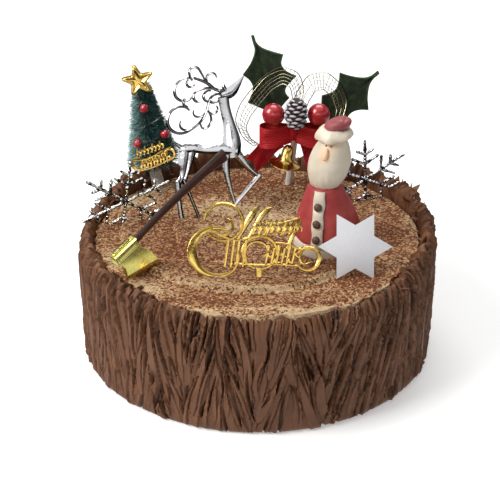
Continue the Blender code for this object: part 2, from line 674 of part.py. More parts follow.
# Spines on each side of a leaf, as (share of its length, distance from the midrib)
LEAVES = {
    "left": (
        ((0.0, 1.0), (0.22, 11.2), (0.58, 9.6), (1.0, 0.3)),
        ((0.0, 1.0), (0.14, 8.4), (0.39, 14.6), (0.68, 11.4), (1.0, 0.3)),
    ),
    "right": (
        ((0.0, 1.0), (0.22, 9.0), (0.61, 12.4), (1.0, 0.3)),
        ((0.0, 1.0), (0.20, 9.4), (0.56, 11.4), (1.0, 0.3)),
    ),
}


def leaf_width(spines, share):
    """Distance from the midrib to the edge: spines joined by hollow arcs."""
    for (t0, w0), (t1, w1) in zip(spines, spines[1:]):
        if share <= t1:
            part = (share - t0) / (t1 - t0)
            dip = 3.6 * math.sin(math.pi * part) * min(1.0, 4.0 * (t1 - t0)) if t0 > 0 else 0.0
            return max(0.4, w0 + (w1 - w0) * part - dip)
    return spines[-1][1]


def holly_leaf(side, foot, tip, depth, curl, parent):
    left, right = LEAVES[side]
    reach = Vector((tip[0] - foot[0], 0.0, tip[1] - foot[1]))
    along = reach.normalized()
    across = Vector((along.z, 0.0, -along.x))
    origin = Vector((foot[0], depth, foot[1]))
    shares = sorted({t for t, _ in left + right} | {0.3, 0.48, 0.78, 0.88})
    grid = []
    for share in shares:
        row = []
        for k in (-1.0, -0.5, 0.0, 0.5, 1.0):
            wide = leaf_width(left if k < 0 else right, share)
            bow = curl * (share - 0.5) ** 2 * 6 - 0.9 * abs(k) + 0.5 * math.sin(9 * share + 2 * k)
            row.append(origin + reach * share + across * (wide * k) + Vector((0.0, bow, 0.0)))
        grid.append(row)
    name = "holly_leaf_" + side
    piece(name, thin_sheet(grid, 0.8), "holly_felt", parent, 60)


def pine_cone(parent):
    """A frosted cone: scales in alternate rows round an egg-shaped core."""
    centre, tall, wide = (0.6, -8.0, 39.6), 7.4, 4.9
    scales, rows = 7, 13
    rings = []
    for row, level in enumerate(np.linspace(-0.93, 0.93, rows)):
        radius = wide * math.sqrt(1 - level ** 2)
        out = row % 2 == 1
        ring = []
        for i in range(2 * scales):
            angle = math.pi * (i + (row // 2) % 2) / scales
            raised = out and i % 2 == 0
            r = radius * (1.1 if raised else 0.82)
            ring.append((r * math.cos(angle), r * math.sin(angle), tall * level + (0.5 if raised else 0.0)))
        rings.append(ring)
    cone = piece("pine_cone", loft(rings), "pine_cone", parent, 20)
    cone.location = Vector(centre) * MM


def bow(parent):
    knot_at = Vector((-0.4, -5.0, 29.0))
    knot = turned(((1.6, -2.9), (2.6, -1.6), (2.8, 0.0), (2.6, 1.6), (1.6, 2.9)), 12)
    piece("bow_knot", moved(knot, knot_at), "red_ribbon", parent)
    for name, side, reach in (("left", -1.0, 12.4), ("right", 1.0, 11.4)):
        grid = []
        for t in np.linspace(0.0, 1.0, 15):
            x = knot_at.x + side * (3.4 + reach * math.sin(math.pi * t))
            y = knot_at.y - 0.9 * math.cos(math.pi * t) - 3.6 * math.sin(2 * math.pi * t)
            droop = -1.6 * math.sin(math.pi * t)
            flare = 4.2 + 1.0 * math.sin(math.pi * t)
            grid.append([(x, y + 0.25 * k, knot_at.z + droop + k * flare) for k in (-1.0, 0.0, 1.0)])
        piece(f"bow_loop_{name}", thin_sheet(grid, 0.6), "red_ribbon", parent, 60)
    tails = (("left", (-7.0, 2.8, 22.4), (-20.4, -8.6, 13.6)), ("right", (7.6, 2.6, 21.6), (11.4, -6.4, 8.6)))
    for name, start, end in tails:
        start, end = Vector(start), Vector(end)
        along = end - start
        across = Vector((along.z, 0.0, -along.x)).normalized() * 4.6
        grid = []
        for t in np.linspace(0.0, 1.0, 9):
            wave = 1.1 * math.sin(2.2 * math.pi * t)
            middle = start + along * t + Vector((0.0, wave + along.y * (t ** 1.9 - t), 0.0))
            notch = along.normalized() * (2.4 if t == 1.0 else 0.0)
            grid.append([middle - across, middle - notch, middle + across])
        piece(f"bow_tail_{name}", thin_sheet(grid, 0.6), "red_ribbon", parent, 60)


def bell(parent):
    outer = ((0.8, 10.8), (2.4, 10.0), (3.7, 7.8), (4.2, 5.2), (4.6, 3.4), (5.3, 1.6), (6.5, 0.5), (6.5, 0.0))
    inner = ((5.9, 0.0), (4.6, 1.4), (3.9, 3.2), (3.5, 5.2), (3.0, 7.4), (1.3, 9.3))
    profile = list(outer) + list(inner)
    points, faces = loft([circle(r, z, 14) for r, z in reversed(profile)])
    obj = place("bell", mesh_of("bell", points, faces), "gold", parent, 40)
    obj.location = Vector((-4.5, -11.4, 15.1)) * MM
    obj.rotation_euler = Euler((0.0, math.radians(10.0), 0.0))


def net_ribbon(name, path, parent):
    """A band of gold net on edge: its width runs back from the viewer."""
    curve = np.array(path, float)
    share = np.linspace(0, 1, len(curve))
    fine = np.linspace(0, 1, 2 * len(curve) - 3)
    x, z = (np.interp(fine, share, curve[:, k]) for k in (0, 1))
    grid = [[(a, y, b) for y in (-1.4, 3.2, 7.8)] for a, b in zip(x, z)]
    piece(name, thin_sheet(grid, 0.5), "gold_net", parent, 60)


def holly_pick(pockets):
    base = frame_at("holly_pick", HOLLY_AT)
    stick = turned(((1.5, -4.0), (1.7, 10.0), (1.6, 24.0)), 12)
    at = (0.6, 2.2, 0.0)
    piece("holly_stick", moved(stick, at), "white_plastic", base)
    pocket(pockets, "holly_pocket", moved(turned(((2.2, -4.0 - GAP), (2.2, 5.0)), 12), at), base)
    stems = [
        stroke([(0.6, 24.6), (0.4, 30.0), (0.2, 35.0)], (0.9, 0.7), 0.8),
        stroke([(0.2, 31.0), (-4.0, 35.6), (-8.0, 38.0)], (0.7, 0.5), 0.6),
        stroke([(0.4, 30.4), (6.0, 33.6), (13.4, 35.8)], (0.7, 0.5), 0.6),
    ]
    stem = joined("holly_stem", [moved(s, (0.0, 6.0, 0.0)) for s in stems], "green_wire", base)
    stem.location = Vector((0.0, 0.0, 0.0))
    holly_leaf("left", (-8.6, 33.6), (-19.6, 71.6), 9.8, 0.5, base)
    holly_leaf("right", (13.6, 30.6), (39.8, 53.8), 9.8, 0.5, base)
    for name, x in (("left", -9.9), ("right", 11.3)):
        ball = turned([(5.3 * math.cos(t), 5.3 * math.sin(t)) for t in np.linspace(-1.44, 1.44, 8)], 14)
        piece(f"holly_berry_{name}", moved(ball, (x, -5.6, 38.6)), "red_gloss", base)
    pine_cone(base)
    bow(base)
    bell(base)
    net_ribbon(
        "net_ribbon_left",
        ((-1.2, 36.0), (1.2, 45.0), (-0.6, 51.4), (-5.6, 54.0), (-12.0, 50.6), (-17.6, 44.0), (-22.2, 37.0),
         (-24.4, 30.4), (-22.0, 23.6), (-17.0, 19.4)),
        base,
    )
    net_ribbon(
        "net_ribbon_right",
        ((2.2, 36.0), (4.6, 44.4), (8.4, 50.2), (14.0, 51.0), (19.6, 46.4), (22.0, 39.4), (19.8, 32.0),
         (13.6, 26.8)),
        base,
    )


# Snowflake picks

FLAKE_ARM = 21.6
FLAKE_STAKE = 14.8         # the lowest arm reaches from the hub into the cream


def flake_outline():
    """Outline of six arms with two pairs of twigs each, the lowest arm cut short as a stake."""
    half = 0.75
    twig_half = 0.6
    splay = math.radians(58)
    outline = []
    for arm in range(6):
        angle = math.radians(90 - 60 * arm)
        along = np.array((math.cos(angle), math.sin(angle)))
        across = np.array((math.sin(angle), -math.cos(angle)))
        lowest = arm == 3
        twigs = ((0.40, 7.6),) if lowest else ((0.40, 7.6), (0.64, 4.8))
        reach = FLAKE_STAKE if lowest else FLAKE_ARM
        edge = []
        for share, long in twigs:
            root = FLAKE_ARM * share
            tip = np.array((root + long * math.cos(splay), long * math.sin(splay)))
            thick = twig_half * np.array((-math.sin(splay), math.cos(splay)))
            offset = half / math.tan(splay)
            spread = twig_half / math.sin(splay)
            edge += [(root + offset - spread, half), tip + thick, tip - thick, (root + offset + spread, half)]
        edge.append((reach, 0.8 * half))
        outline += [(1.3 * math.cos(angle + math.pi / 6), 1.3 * math.sin(angle + math.pi / 6))]
        outline += [tuple(along * x - across * y) for x, y in edge]
        outline += [tuple(along * x + across * y) for x, y in reversed(edge)]
    return outline


def plate_of(outline, thickness):
    """A flat closed plate in the XZ plane."""
    count = len(outline)
    points = [(x, -thickness / 2, z) for x, z in outline] + [(x, thickness / 2, z) for x, z in outline]
    faces = [tuple(range(count)), tuple(reversed(range(count, 2 * count)))]
    for i in range(count):
        j = (i + 1) % count
        faces.append((i, count + i, count + j, j))
    return points, faces


def snowflake(name, hub, turn, roll, pockets):
    base = frame_at(name + "_frame", hub, height=hub[2], turn=turn, lean=-10.0, roll=roll)
    shape = plate_of(flake_outline(), 1.3)
    piece(name, shape, "chrome", base, 20)
    pocket(pockets, name + "_pocket", box((-22.0, -1.1, -16.2), (22.0, 1.1, -5.0)), base)


# Gold scroll plaque and star card


def plaque(pockets):
    """An openwork gold plaque of scrolls and leaf strokes on a stake."""
    base = frame_at("plaque", PLAQUE_AT, turn=0.0, lean=10.0)
    deep = 0.9
    ring = (0.7, 1.1, 0.7)
    shapes = [
        stroke(arc((-16.6, 9.4), 10.6, 68, 312, 11), (0.8, 2.3, 0.7), deep, BAR),
        stroke(arc((-16.6, 9.4), 10.6, 306, 372, 4, 8.4), (0.7, 0.6), deep, BAR),
        stroke(arc((-14.0, 22.4), 8.0, -150, 175, 12), (0.7, 0.9, 0.7), deep, BAR),
        stroke(arc((-13.6, 21.6), 6.0, -185, 60, 7, 2.6), (0.7, 1.0, 0.6), deep, BAR),
        stroke([(-22.8, 17.4), (-19.0, 18.6), (-14.0, 16.2), (-8.0, 14.2)], (0.6, 1.1, 0.6), deep, BAR),
        stroke([(-8.6, 14.0), (-1.6, 26.2), (0.6, 29.0)], (0.8, 1.5, 0.8), deep, BAR),
        stroke([(-3.4, 15.6), (4.0, 27.4), (6.2, 28.6)], (0.7, 1.3, 0.7), deep, BAR),
        stroke([(-9.2, 14.4), (6.0, 17.6), (16.6, 18.6)], (0.6, 0.6), deep, BAR),
        stroke([(-0.8, 22.4), (9.0, 22.0), (16.9, 24.0)], (0.5, 0.6), deep, BAR),
        stroke([(17.8, 24.6), (15.6, 18.0), (12.2, 10.6)], (0.5, 1.0, 0.7), deep, BAR),
        stroke(arc((1.2, 9.2), 7.2, -94, 254, 13), ring, deep, BAR),
        stroke(arc((1.2, 9.2), 6.8, 215, -40, 8, 2.4), (0.6, 0.8, 0.4), deep, BAR),
        stroke([(-9.4, 4.4), (1.0, 3.8), (9.0, 4.0), (17.6, 3.4)], (0.5, 0.6), deep, BAR),
        stroke(arc((21.2, 6.4), 5.0, 150, -150, 10), ring, deep, BAR),
        stroke(arc((21.2, 6.4), 4.8, 60, 300, 6, 1.8), (0.5, 0.7, 0.4), deep, BAR),
        stroke([(6.4, 13.6), (12.0, 13.0), (18.2, 10.4)], (0.5, 0.6), deep, BAR),
        stroke([(1.0, 2.6), (1.0, -3.4)], (1.3, 1.2), deep, BAR),
    ]
    for x in (-12.6, -8.0, 13.0):
        shapes.append(stroke([(x - 0.8, 3.0), (x + 0.8, 15.0 if x < 0 else 13.4)], (0.6, 0.9), deep, BAR))
    for x in (5.0, 11.0):
        shapes.append(stroke([(x - 1.2, 16.6), (x + 1.2, 22.6)], (0.6, 0.8), deep, BAR))
    joined("gold_scroll", [moved(s, (0.0, 0.0, 1.2)) for s in shapes], "gold", base, 25)
    for part, low, high, bottom in (("stake", -0.9, 2.9, -3.0), ("foot", -26.0, 28.0, -1.9)):
        pocket(pockets, f"plaque_pocket_{part}", box((low, -1.3, bottom), (high, 1.3, 4.0)), base)


def star_card(pockets):
    base = frame_at("star_card_frame", STAR_AT, turn=0.0, lean=25.0)
    points, faces = star_prism(6, 15.7, 15.7 / math.sqrt(3), 0.55, 0.5)
    turn = Euler((0.0, math.radians(30.0), 0.0)).to_matrix()
    piece("star_card", moved((points, faces), (0.0, 0.0, 12.9), turn), "white_card", base, 12)
    pocket(pockets, "card_pocket", box((-9.6, -1.1, -1.4), (9.6, 1.1, 3.0)), base)


def main():
    clear_scene()
    pockets = bpy.data.collections.new("cream_pockets")
    flake_pockets = bpy.data.collections.new("flake_pockets")
    for group in (pockets, flake_pockets):
        bpy.context.scene.collection.children.link(group)
    santa(pockets)
    tree(pockets)
    reindeer(pockets)
    axe(pockets)
    holly_pick(pockets)
    snowflake("snowflake_left", FLAKE_LEFT_HUB, 14.5, 6.5, flake_pockets)
    snowflake("snowflake_right", FLAKE_RIGHT_HUB, 11.0, -5.7, flake_pockets)
    plaque(pockets)
    star_card(pockets)
    bark_cream(flake_pockets)
    top_cream(pockets, flake_pockets)


main()
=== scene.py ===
"""The looks of a round yule log cake: combed chocolate bark, a cocoa dusted top, and the festive picks on it.

Blender 4.5. Each piece is modelled in millimetres in its own upright frame and then settled, in metres, where the
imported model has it. +Z is up and -Y is the front.
"""

import math
import random

import bpy
import numpy as np
from mathutils import Euler, Matrix, Vector, noise


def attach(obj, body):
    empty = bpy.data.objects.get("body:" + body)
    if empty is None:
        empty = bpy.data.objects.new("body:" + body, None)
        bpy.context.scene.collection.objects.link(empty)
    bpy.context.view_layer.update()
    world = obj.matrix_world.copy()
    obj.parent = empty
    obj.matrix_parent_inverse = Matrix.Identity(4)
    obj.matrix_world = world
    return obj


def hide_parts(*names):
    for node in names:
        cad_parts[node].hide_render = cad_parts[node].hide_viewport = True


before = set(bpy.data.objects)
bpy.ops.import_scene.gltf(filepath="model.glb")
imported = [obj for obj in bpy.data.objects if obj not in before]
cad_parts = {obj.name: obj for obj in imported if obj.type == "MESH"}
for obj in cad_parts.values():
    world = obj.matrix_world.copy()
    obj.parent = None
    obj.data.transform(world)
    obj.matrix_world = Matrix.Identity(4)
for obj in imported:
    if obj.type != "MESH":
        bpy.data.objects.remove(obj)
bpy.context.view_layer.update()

METRES = Matrix.Scale(0.001, 4)

# The cake, as the solids have it
SURFACE = 54.5
BARK_RADIUS = 79.7
BARK_LIMIT = 81.0            # the bark's ridges stay inside the solid's box
CREAM_RADIUS = 72.3
RECESS_FLOOR = 48.0
SHOULDER = 8.0
CREST = (                    # angle, height, and how torn it is
    (-180, 56.2, 0.3), (-160, 57.5, 0.6), (-140, 56.0, 0.7), (-122, 54.2, 0.4), (-100, 52.9, 0.12),
    (-70, 52.7, 0.12), (-48, 53.6, 0.2), (-30, 57.0, 0.5), (-10, 60.0, 0.8), (12, 61.5, 1.0),
    (24, 62.5, 1.0), (38, 61.0, 0.9), (55, 61.0, 0.8), (80, 58.5, 0.6), (95, 58.5, 0.6),
    (107, 62.0, 0.9), (122, 59.0, 0.7), (145, 61.0, 0.9), (160, 58.0, 0.6), (180, 56.2, 0.3),
)
SPIRAL_START = -120.0
SPIRAL_RADIUS = 56.0
SPIRAL_PITCH = 24.0
SPIRAL_STEP = 1.8

# Feet of the picks and figures on the cream, as x, y
SANTA_AT = (31.5, -11.6)
TREE_AT = (-47.8, 51.0)
REINDEER_AT = (-20.0, 16.5)
HOLLY_AT = (17.6, 50.0)
PLAQUE_AT = (-0.3, -41.9)
STAR_AT = (41.0, -43.2)
AXE_AT = (-54.9, -42.8)
FLAKE_LEFT_HUB = (-59.2, 8.0, 65.5)
FLAKE_RIGHT_HUB = (50.6, 31.0, 66.1)


# Materials


class Wire:
    """One socket of a material, so that shader maths reads as plain expressions."""

    def __init__(self, look, socket):
        self.look, self.socket = look, socket

    def maths(self, operation, *values):
        return self.look.node("Math", {"operation": operation}, *values)

    def __add__(self, other):
        return self.maths("ADD", self, other)

    def __sub__(self, other):
        return self.maths("SUBTRACT", self, other)

    def __mul__(self, other):
        return self.maths("MULTIPLY", self, other)

    def sine(self):
        return self.maths("SINE", self)

    def between(self, low, high):
        """0 below low, 1 above high, and a smooth rise between them."""
        return self.look.node(
            "MapRange", {"interpolation_type": "SMOOTHSTEP"},
            self, From_Min=low, From_Max=high, To_Min=0.0, To_Max=1.0,
        )


class Look:
    """One procedural material on the Principled shader, with its patterns in millimetres."""

    def __init__(self, name, colour=(0.5, 0.5, 0.5), roughness=0.5, metallic=0.0, **sockets):
        self.material = bpy.data.materials.new(name)
        self.material.use_nodes = True
        self.nodes = self.material.node_tree.nodes
        self.links = self.material.node_tree.links
        self.shader = self.nodes["Principled BSDF"]
        self.material.diffuse_color = (*colour, 1.0)
        self.set(Base_Color=colour, Roughness=roughness, Metallic=metallic, **sockets)

    def feed(self, socket, value):
        if isinstance(value, Wire):
            self.links.new(value.socket, socket)
        elif hasattr(value, "__len__") and socket.type == "RGBA":
            socket.default_value = (*value[:3], 1.0)
        else:
            socket.default_value = value

    def node(self, kind, settings=None, *values, output=0, **sockets):
        """Adds a node: its settings, its first inputs in order, and others by name."""
        made = self.nodes.new("ShaderNode" + kind)
        for key, value in (settings or {}).items():
            setattr(made, key, value)
        for socket, value in zip(made.inputs, values):
            self.feed(socket, value)
        for key, value in sockets.items():
            self.feed(made.inputs[key.replace("_", " ")], value)
        return Wire(self, made.outputs[output])

    def set(self, **sockets):
        for key, value in sockets.items():
            self.feed(self.shader.inputs[key.replace("_", " ")], value)
        return self

    def place(self, stretch=(1.0, 1.0, 1.0)):
        """Where a point lies on the piece, in millimetres, stretched along each axis."""
        spot = self.node("TexCoord", output="Object")
        return self.node("Mapping", None, spot, Scale=tuple(1000.0 * s for s in stretch))

    def attribute(self, name, output="Fac"):
        return self.node("Attribute", {"attribute_name": name}, output=output)

    def cloud(self, size, detail=2.0, at=None, rough=0.5, output=0):
        """Noise whose blots are about size millimetres wide."""
        return self.node(
            "TexNoise", None, output=output, Vector=at or self.place(), Scale=1.0 / size, Detail=detail,
            Roughness=rough,
        )

    def grains(self, size, at=None, output="Distance", **settings):
        return self.node("TexVoronoi", settings, output=output, Vector=at or self.place(), Scale=1.0 / size)

    def blend(self, share, first, second):
        """A colour between two, by share."""
        made = self.nodes.new("ShaderNodeMix")
        made.data_type = "RGBA"
        for key, value in ((0, share), (6, first), (7, second)):
            self.feed(made.inputs[key], value)
        return Wire(self, made.outputs[2])

    def relief(self, height, depth, strength=1.0, lean=0.0):
        """Bumps as deep as depth millimetres where height goes from 0 to 1. Lean turns upright faces up, in degrees."""
        if lean:
            up = self.node("SeparateXYZ", None, self.place(), output=2)
            height = height - up * (math.tan(math.radians(lean)) / depth)
        bump = self.node("Bump", None, Strength=strength, Distance=depth * 0.001, Height=height)
        return self.set(Normal=bump)


def chocolate_cream():
    """Whipped chocolate cream: satin faces drawn along the comb, with painted shade near black in its cuts, creases and
    gaps, and painted highlights on its raised lips and edges.
    """
    look = Look("chocolate_cream", (0.115, 0.048, 0.026), 0.5, Specular_IOR_Level=0.3)
    painted_highlight = look.attribute("painted_highlight")
    cut = look.attribute("cut")
    streak = look.attribute("comb", "Vector")
    lines = look.cloud(0.8, 3.0, streak)
    blots = look.cloud(9.0, 2.0)
    face = look.blend(blots.between(0.3, 0.7), (0.126, 0.051, 0.023), (0.168, 0.071, 0.033))
    face = look.blend(lines.between(0.42, 0.75) * 0.4, face, (0.215, 0.098, 0.049))
    # Painted highlight: raised lips and tips are lightened as if the key light catches them.
    face = look.blend(painted_highlight.between(0.45, 1.0) * 0.6, face, (0.270, 0.128, 0.070))
    # Painted shade: cuts, creases and uncovered gaps go near black.
    look.set(Base_Color=look.blend(cut.between(0.28, 1.0) * 0.84, face, (0.022, 0.010, 0.005)))
    look.set(Roughness=look.cloud(4.0).between(0.2, 0.8) * 0.14 + 0.44)
    return look.relief(lines * 0.6 + look.cloud(0.5, 2.0) * 0.2 + look.cloud(1.7, 1.0) * 0.5, 0.2)


def dusted_cream():
    look = Look("dusted_cream", (0.27, 0.15, 0.08), 0.7, Specular_IOR_Level=0.2)
    dust = look.attribute("cocoa")
    shade = look.grains(0.80, output="Color")
    chance = look.node("SeparateColor", None, shade)
    other = look.node("SeparateColor", None, shade, output=1)
    third = look.node("SeparateColor", None, shade, output=2)
    cream = look.blend(look.cloud(3.0).between(0.3, 0.7), (0.36, 0.245, 0.135), (0.50, 0.355, 0.205))
    cocoa = look.blend(other, (0.078, 0.023, 0.009), (0.180, 0.056, 0.020))
    cocoa = look.blend(third.between(0.80, 0.86), cocoa, (0.42, 0.215, 0.095))
    film = look.blend(dust.between(0.1, 1.0) * 0.74, cream, (0.29, 0.106, 0.034))
    film = look.blend(third.between(0.70, 0.90) * 0.7, film, (0.64, 0.46, 0.26))
    cover = (dust + look.cloud(2.4, 3.0) * 0.6 - 0.30 - chance).between(-0.06, 0.06)
    look.set(Base_Color=look.blend(cover, film, cocoa))
    bumps = look.grains(0.80) * dust.between(0.05, 0.5)
    return look.relief(bumps + look.cloud(1.4, 3.0) * 0.4, 0.36)


def cocoa_crumb():
    look = Look("cocoa_crumb", (0.24, 0.10, 0.045), 0.75, Specular_IOR_Level=0.2)
    spot = look.cloud(1.3, 1.0)
    look.set(Base_Color=look.blend(spot.between(0.35, 0.65), (0.105, 0.036, 0.015), (0.34, 0.165, 0.08)))
    return look.relief(look.cloud(0.25), 0.1)


def moulded_chocolate(name, colour, deep, roughness=0.38):
    """Coloured chocolate out of a mould: satin, with faint cloudiness and bloom, and a blush where one is painted."""
    look = Look(name, colour, roughness, Specular_IOR_Level=0.4)
    cloud = look.cloud(7.0, 3.0)
    plain = look.blend(cloud.between(0.3, 0.72), deep, colour)
    look.set(
        Base_Color=look.blend(look.attribute("blush"), plain, (0.80, 0.50, 0.28)),
        Roughness=look.cloud(3.0, 3.0).between(0.2, 0.8) * 0.18 + (roughness - 0.06),
    )
    return look.relief(look.cloud(2.2, 3.0) + look.cloud(0.5) * 0.25, 0.16)


def plating(
    name, colour, deep, roughness=0.08, unevenness=0.05, size=2.4, lean=22.0, rim=0.0, dark_reflection_specks=0.0, metallic=1.0,
    turned_from=0.15, turned_to=0.34,
):
    """Bright plating on moulded plastic, uneven as moulded, its faces drafted upwards, with a painted dark reflection
    on the edges that turn from view.
    """
    look = Look(name, colour, roughness, metallic)
    face = look.blend(look.cloud(6.0, 2.0).between(0.3, 0.7), deep, colour)
    # Painted reflection: dark flecks in the plating's colour stand in for facets mirroring dark surroundings.
    if dark_reflection_specks:
        chance = look.node("SeparateColor", None, look.grains(1.3, output="Color"))
        face = look.blend(chance.between(1.0 - dark_reflection_specks, 1.06 - dark_reflection_specks), face, (0.035, 0.035, 0.04))
    # Painted reflection: edges turning away from view are darkened towards black, standing in for the dark surroundings
    # they mirror.
    if rim:
        turned = look.node("LayerWeight", None, output=1)
        face = look.blend(turned.between(turned_from, turned_to) * rim, face, tuple(0.04 * c for c in colour))
    look.set(
        Base_Color=face,
        Roughness=look.cloud(1.5, 2.0).between(0.35, 0.8) * 0.10 + roughness,
    )
    return look.relief(look.cloud(size, 2.0) + look.cloud(size * 0.3) * 0.2, unevenness, lean=lean)


def bristle():
    look = Look("pine_bristle", (0.01, 0.10, 0.085), 0.55)
    # The frost is real on the bristle tips, and painted highlight where it is heavier on the lit left side.
    frost = look.attribute("frost")
    tone_and_shade = look.attribute("tone_and_shade")
    # Random tone, and painted shade darkening the bristles towards their roots and the core.
    green = look.blend(tone_and_shade, (0.004, 0.032, 0.032), (0.016, 0.155, 0.135))
    return look.set(Base_Color=look.blend(frost, green, (0.56, 0.76, 0.74)))


def felt():
    """Flocked leaf: short dark pile with paler tips, a vein pressed along it."""
    look = Look("holly_felt", (0.03, 0.07, 0.02), 0.95, Sheen_Weight=0.10, Sheen_Roughness=0.5)
    pile = look.cloud(0.55, 3.0)
    blots = look.cloud(3.2, 3.0)
    green = look.blend(blots.between(0.35, 0.7), (0.006, 0.013, 0.005), (0.020, 0.042, 0.013))
    edge = look.attribute("edge")
    green = look.blend(pile.between(0.5, 0.8) * 0.6, green, (0.036, 0.080, 0.024))
    look.set(Base_Color=look.blend(edge.between(0.85, 1.0) * 0.5, green, (0.040, 0.115, 0.026)))
    return look.relief(pile + blots * 0.8, 0.45)


def ribbon():
    """Ribbed red satin ribbon, its ribs along its length, with painted shade in the hollows between them."""
    look = Look(
        "red_ribbon", (0.60, 0.006, 0.014), 0.45, Sheen_Weight=0.05, Sheen_Roughness=0.4, Specular_IOR_Level=0.3,
    )
    across = look.node("SeparateXYZ", None, look.attribute("band", "Vector"))
    ribs = (across * 6.2832 * 1.25).sine() * 0.5 + 0.5
    weave = look.cloud(0.35, 2.0)
    # Painted shade: the hollows between the ribs are coloured darker than their crowns.
    tone = look.blend(ribs * 0.7 + weave * 0.3, (0.30, 0.003, 0.008), (0.62, 0.008, 0.016))
    look.set(Base_Color=tone)
    return look.relief(ribs + weave * 0.3, 0.16)


def glossy(name, colour, deep, roughness=0.12):
    """Lacquer over coloured plastic."""
    look = Look(name, colour, 0.3, Coat_Weight=0.8, Coat_Roughness=roughness)
    look.set(Base_Color=look.blend(look.cloud(3.0).between(0.3, 0.7), deep, colour))
    return look.relief(look.cloud(1.6, 2.0), 0.05)


def wood_scale():
    """Frosted cone: dark scales with pale rims."""
    look = Look("pine_cone", (0.10, 0.07, 0.07), 0.7)
    frost = look.attribute("frost")
    bark = look.blend(look.cloud(0.8, 3.0).between(0.3, 0.7), (0.035, 0.024, 0.026), (0.085, 0.060, 0.062))
    rim = (frost + look.cloud(0.6) * 0.5 - 0.25).between(0.68, 0.95)
    look.set(Base_Color=look.blend(rim, bark, (0.62, 0.58, 0.63)))
    return look.relief(look.cloud(0.5, 3.0), 0.2)


def foil():
    look = Look("silver_foil", (0.75, 0.75, 0.76), 0.36, 0.3)
    crease = look.grains(2.0, feature="DISTANCE_TO_EDGE")
    look.set(Base_Color=look.blend(look.cloud(2.0).between(0.3, 0.7), (0.52, 0.52, 0.54), (0.86, 0.86, 0.87)))
    return look.relief(crease.between(0.0, 0.3) + look.cloud(1.2, 3.0), 0.5)


def handle_wood():
    look = Look("dark_handle", (0.045, 0.022, 0.018), 0.4, Specular_IOR_Level=0.6)
    grain = look.cloud(0.6, 3.0, look.place((0.12, 0.12, 1.0)))
    look.set(Base_Color=look.blend(grain.between(0.3, 0.7), (0.030, 0.014, 0.011), (0.062, 0.030, 0.024)))
    return look.relief(grain, 0.10)


def card():
    look = Look("white_card", (0.80, 0.80, 0.82), 0.34, Specular_IOR_Level=0.5)
    fibre = look.cloud(0.6, 3.0)
    look.set(
        Base_Color=look.blend(fibre.between(0.2, 0.8), (0.64, 0.645, 0.68), (0.70, 0.705, 0.735)),
        Roughness=look.cloud(5.0).between(0.2, 0.8) * 0.1 + 0.3,
    )
    return look.relief(fibre, 0.05)


def plain_plastic(name, light, dark, roughness=0.45):
    look = Look(name, light, roughness)
    look.set(Base_Color=look.blend(look.cloud(2.0, 3.0).between(0.3, 0.7), dark, light))
    return look.relief(look.cloud(0.8, 2.0), 0.08)


LOOKS = {
    "chocolate_cream": chocolate_cream(),
    "coffee_cream": dusted_cream(),
    "cocoa_crumb": cocoa_crumb(),
    "white_chocolate": moulded_chocolate("white_chocolate", (0.74, 0.67, 0.55), (0.66, 0.58, 0.46)),
    "eye_brown": moulded_chocolate("eye_brown", (0.30, 0.15, 0.09), (0.24, 0.11, 0.07)),
    "hat_chocolate": moulded_chocolate("hat_chocolate", (0.36, 0.085, 0.090), (0.25, 0.050, 0.056)),
    "red_chocolate": moulded_chocolate("red_chocolate", (0.44, 0.070, 0.062), (0.34, 0.034, 0.036), 0.42),
    "dark_chocolate": moulded_chocolate("dark_chocolate", (0.12, 0.062, 0.040), (0.085, 0.043, 0.028)),
    # rim sets how much painted dark reflection the edges take that turn from view.
    "chrome": plating("chrome", (0.84, 0.84, 0.86), (0.74, 0.74, 0.77), 0.05, 0.09, rim=0.97),
    # A darker copy of the chrome for the antler scrolls: painted dark reflection.
    "scroll_chrome_dark_reflection": plating("scroll_chrome_dark_reflection", (0.46, 0.44, 0.45), (0.30, 0.29, 0.30), 0.05, 0.09, rim=0.97,
                             turned_from=0.10, turned_to=0.28),
    "sugared_chrome": plating("sugared_chrome", (0.88, 0.88, 0.90), (0.74, 0.74, 0.77), 0.06, 0.4, 1.0, 16.0,
                              rim=0.9, dark_reflection_specks=0.30),
    "thread": plating("thread", (0.40, 0.41, 0.40), (0.26, 0.28, 0.28), 0.3, rim=0.7),
    "gold": plating("gold", (0.66, 0.44, 0.12), (0.52, 0.33, 0.08), 0.16, 0.07),
    "bright_gold": plating("bright_gold", (0.98, 0.88, 0.26), (0.94, 0.82, 0.22), 0.22, 0.02, 3.0, 36.0, metallic=0.95),
    "amber_gold": plating("amber_gold", (0.50, 0.26, 0.03), (0.34, 0.16, 0.02), 0.25, 0.12, metallic=0.6),
    # Near black for the axe head's engraved lines: painted shade in their grooves.
    "groove_shade_black": plain_plastic("groove_shade_black", (0.02, 0.018, 0.015), (0.012, 0.010, 0.009)),
    "red_gloss": glossy("red_gloss", (0.42, 0.005, 0.014), (0.32, 0.003, 0.010)),
    "red_ribbon": ribbon(),
    "gold_net": plating("gold_net", (0.46, 0.41, 0.27), (0.34, 0.30, 0.19), 0.3, rim=0.85,
                        turned_from=0.1, turned_to=0.4),
    "holly_felt": felt(),
    "green_wire": plain_plastic("green_wire", (0.05, 0.14, 0.04), (0.03, 0.09, 0.03), 0.6),
    "pine_bristle": bristle(),
    "pine_cone": wood_scale(),
    "silver_foil": foil(),
    "dark_handle": handle_wood(),
    "white_plastic": plain_plastic("white_plastic", (0.78, 0.77, 0.74), (0.68, 0.67, 0.63)),
    "white_card": card(),
}


# Ways of making


def clear_choice():
    """Leaves nothing selected."""
    bpy.ops.object.select_all(action="DESELECT")


def pick_out(obj):
    """Leaves one piece selected and active."""
    clear_choice()
    obj.select_set(True)
    bpy.context.view_layer.objects.active = obj


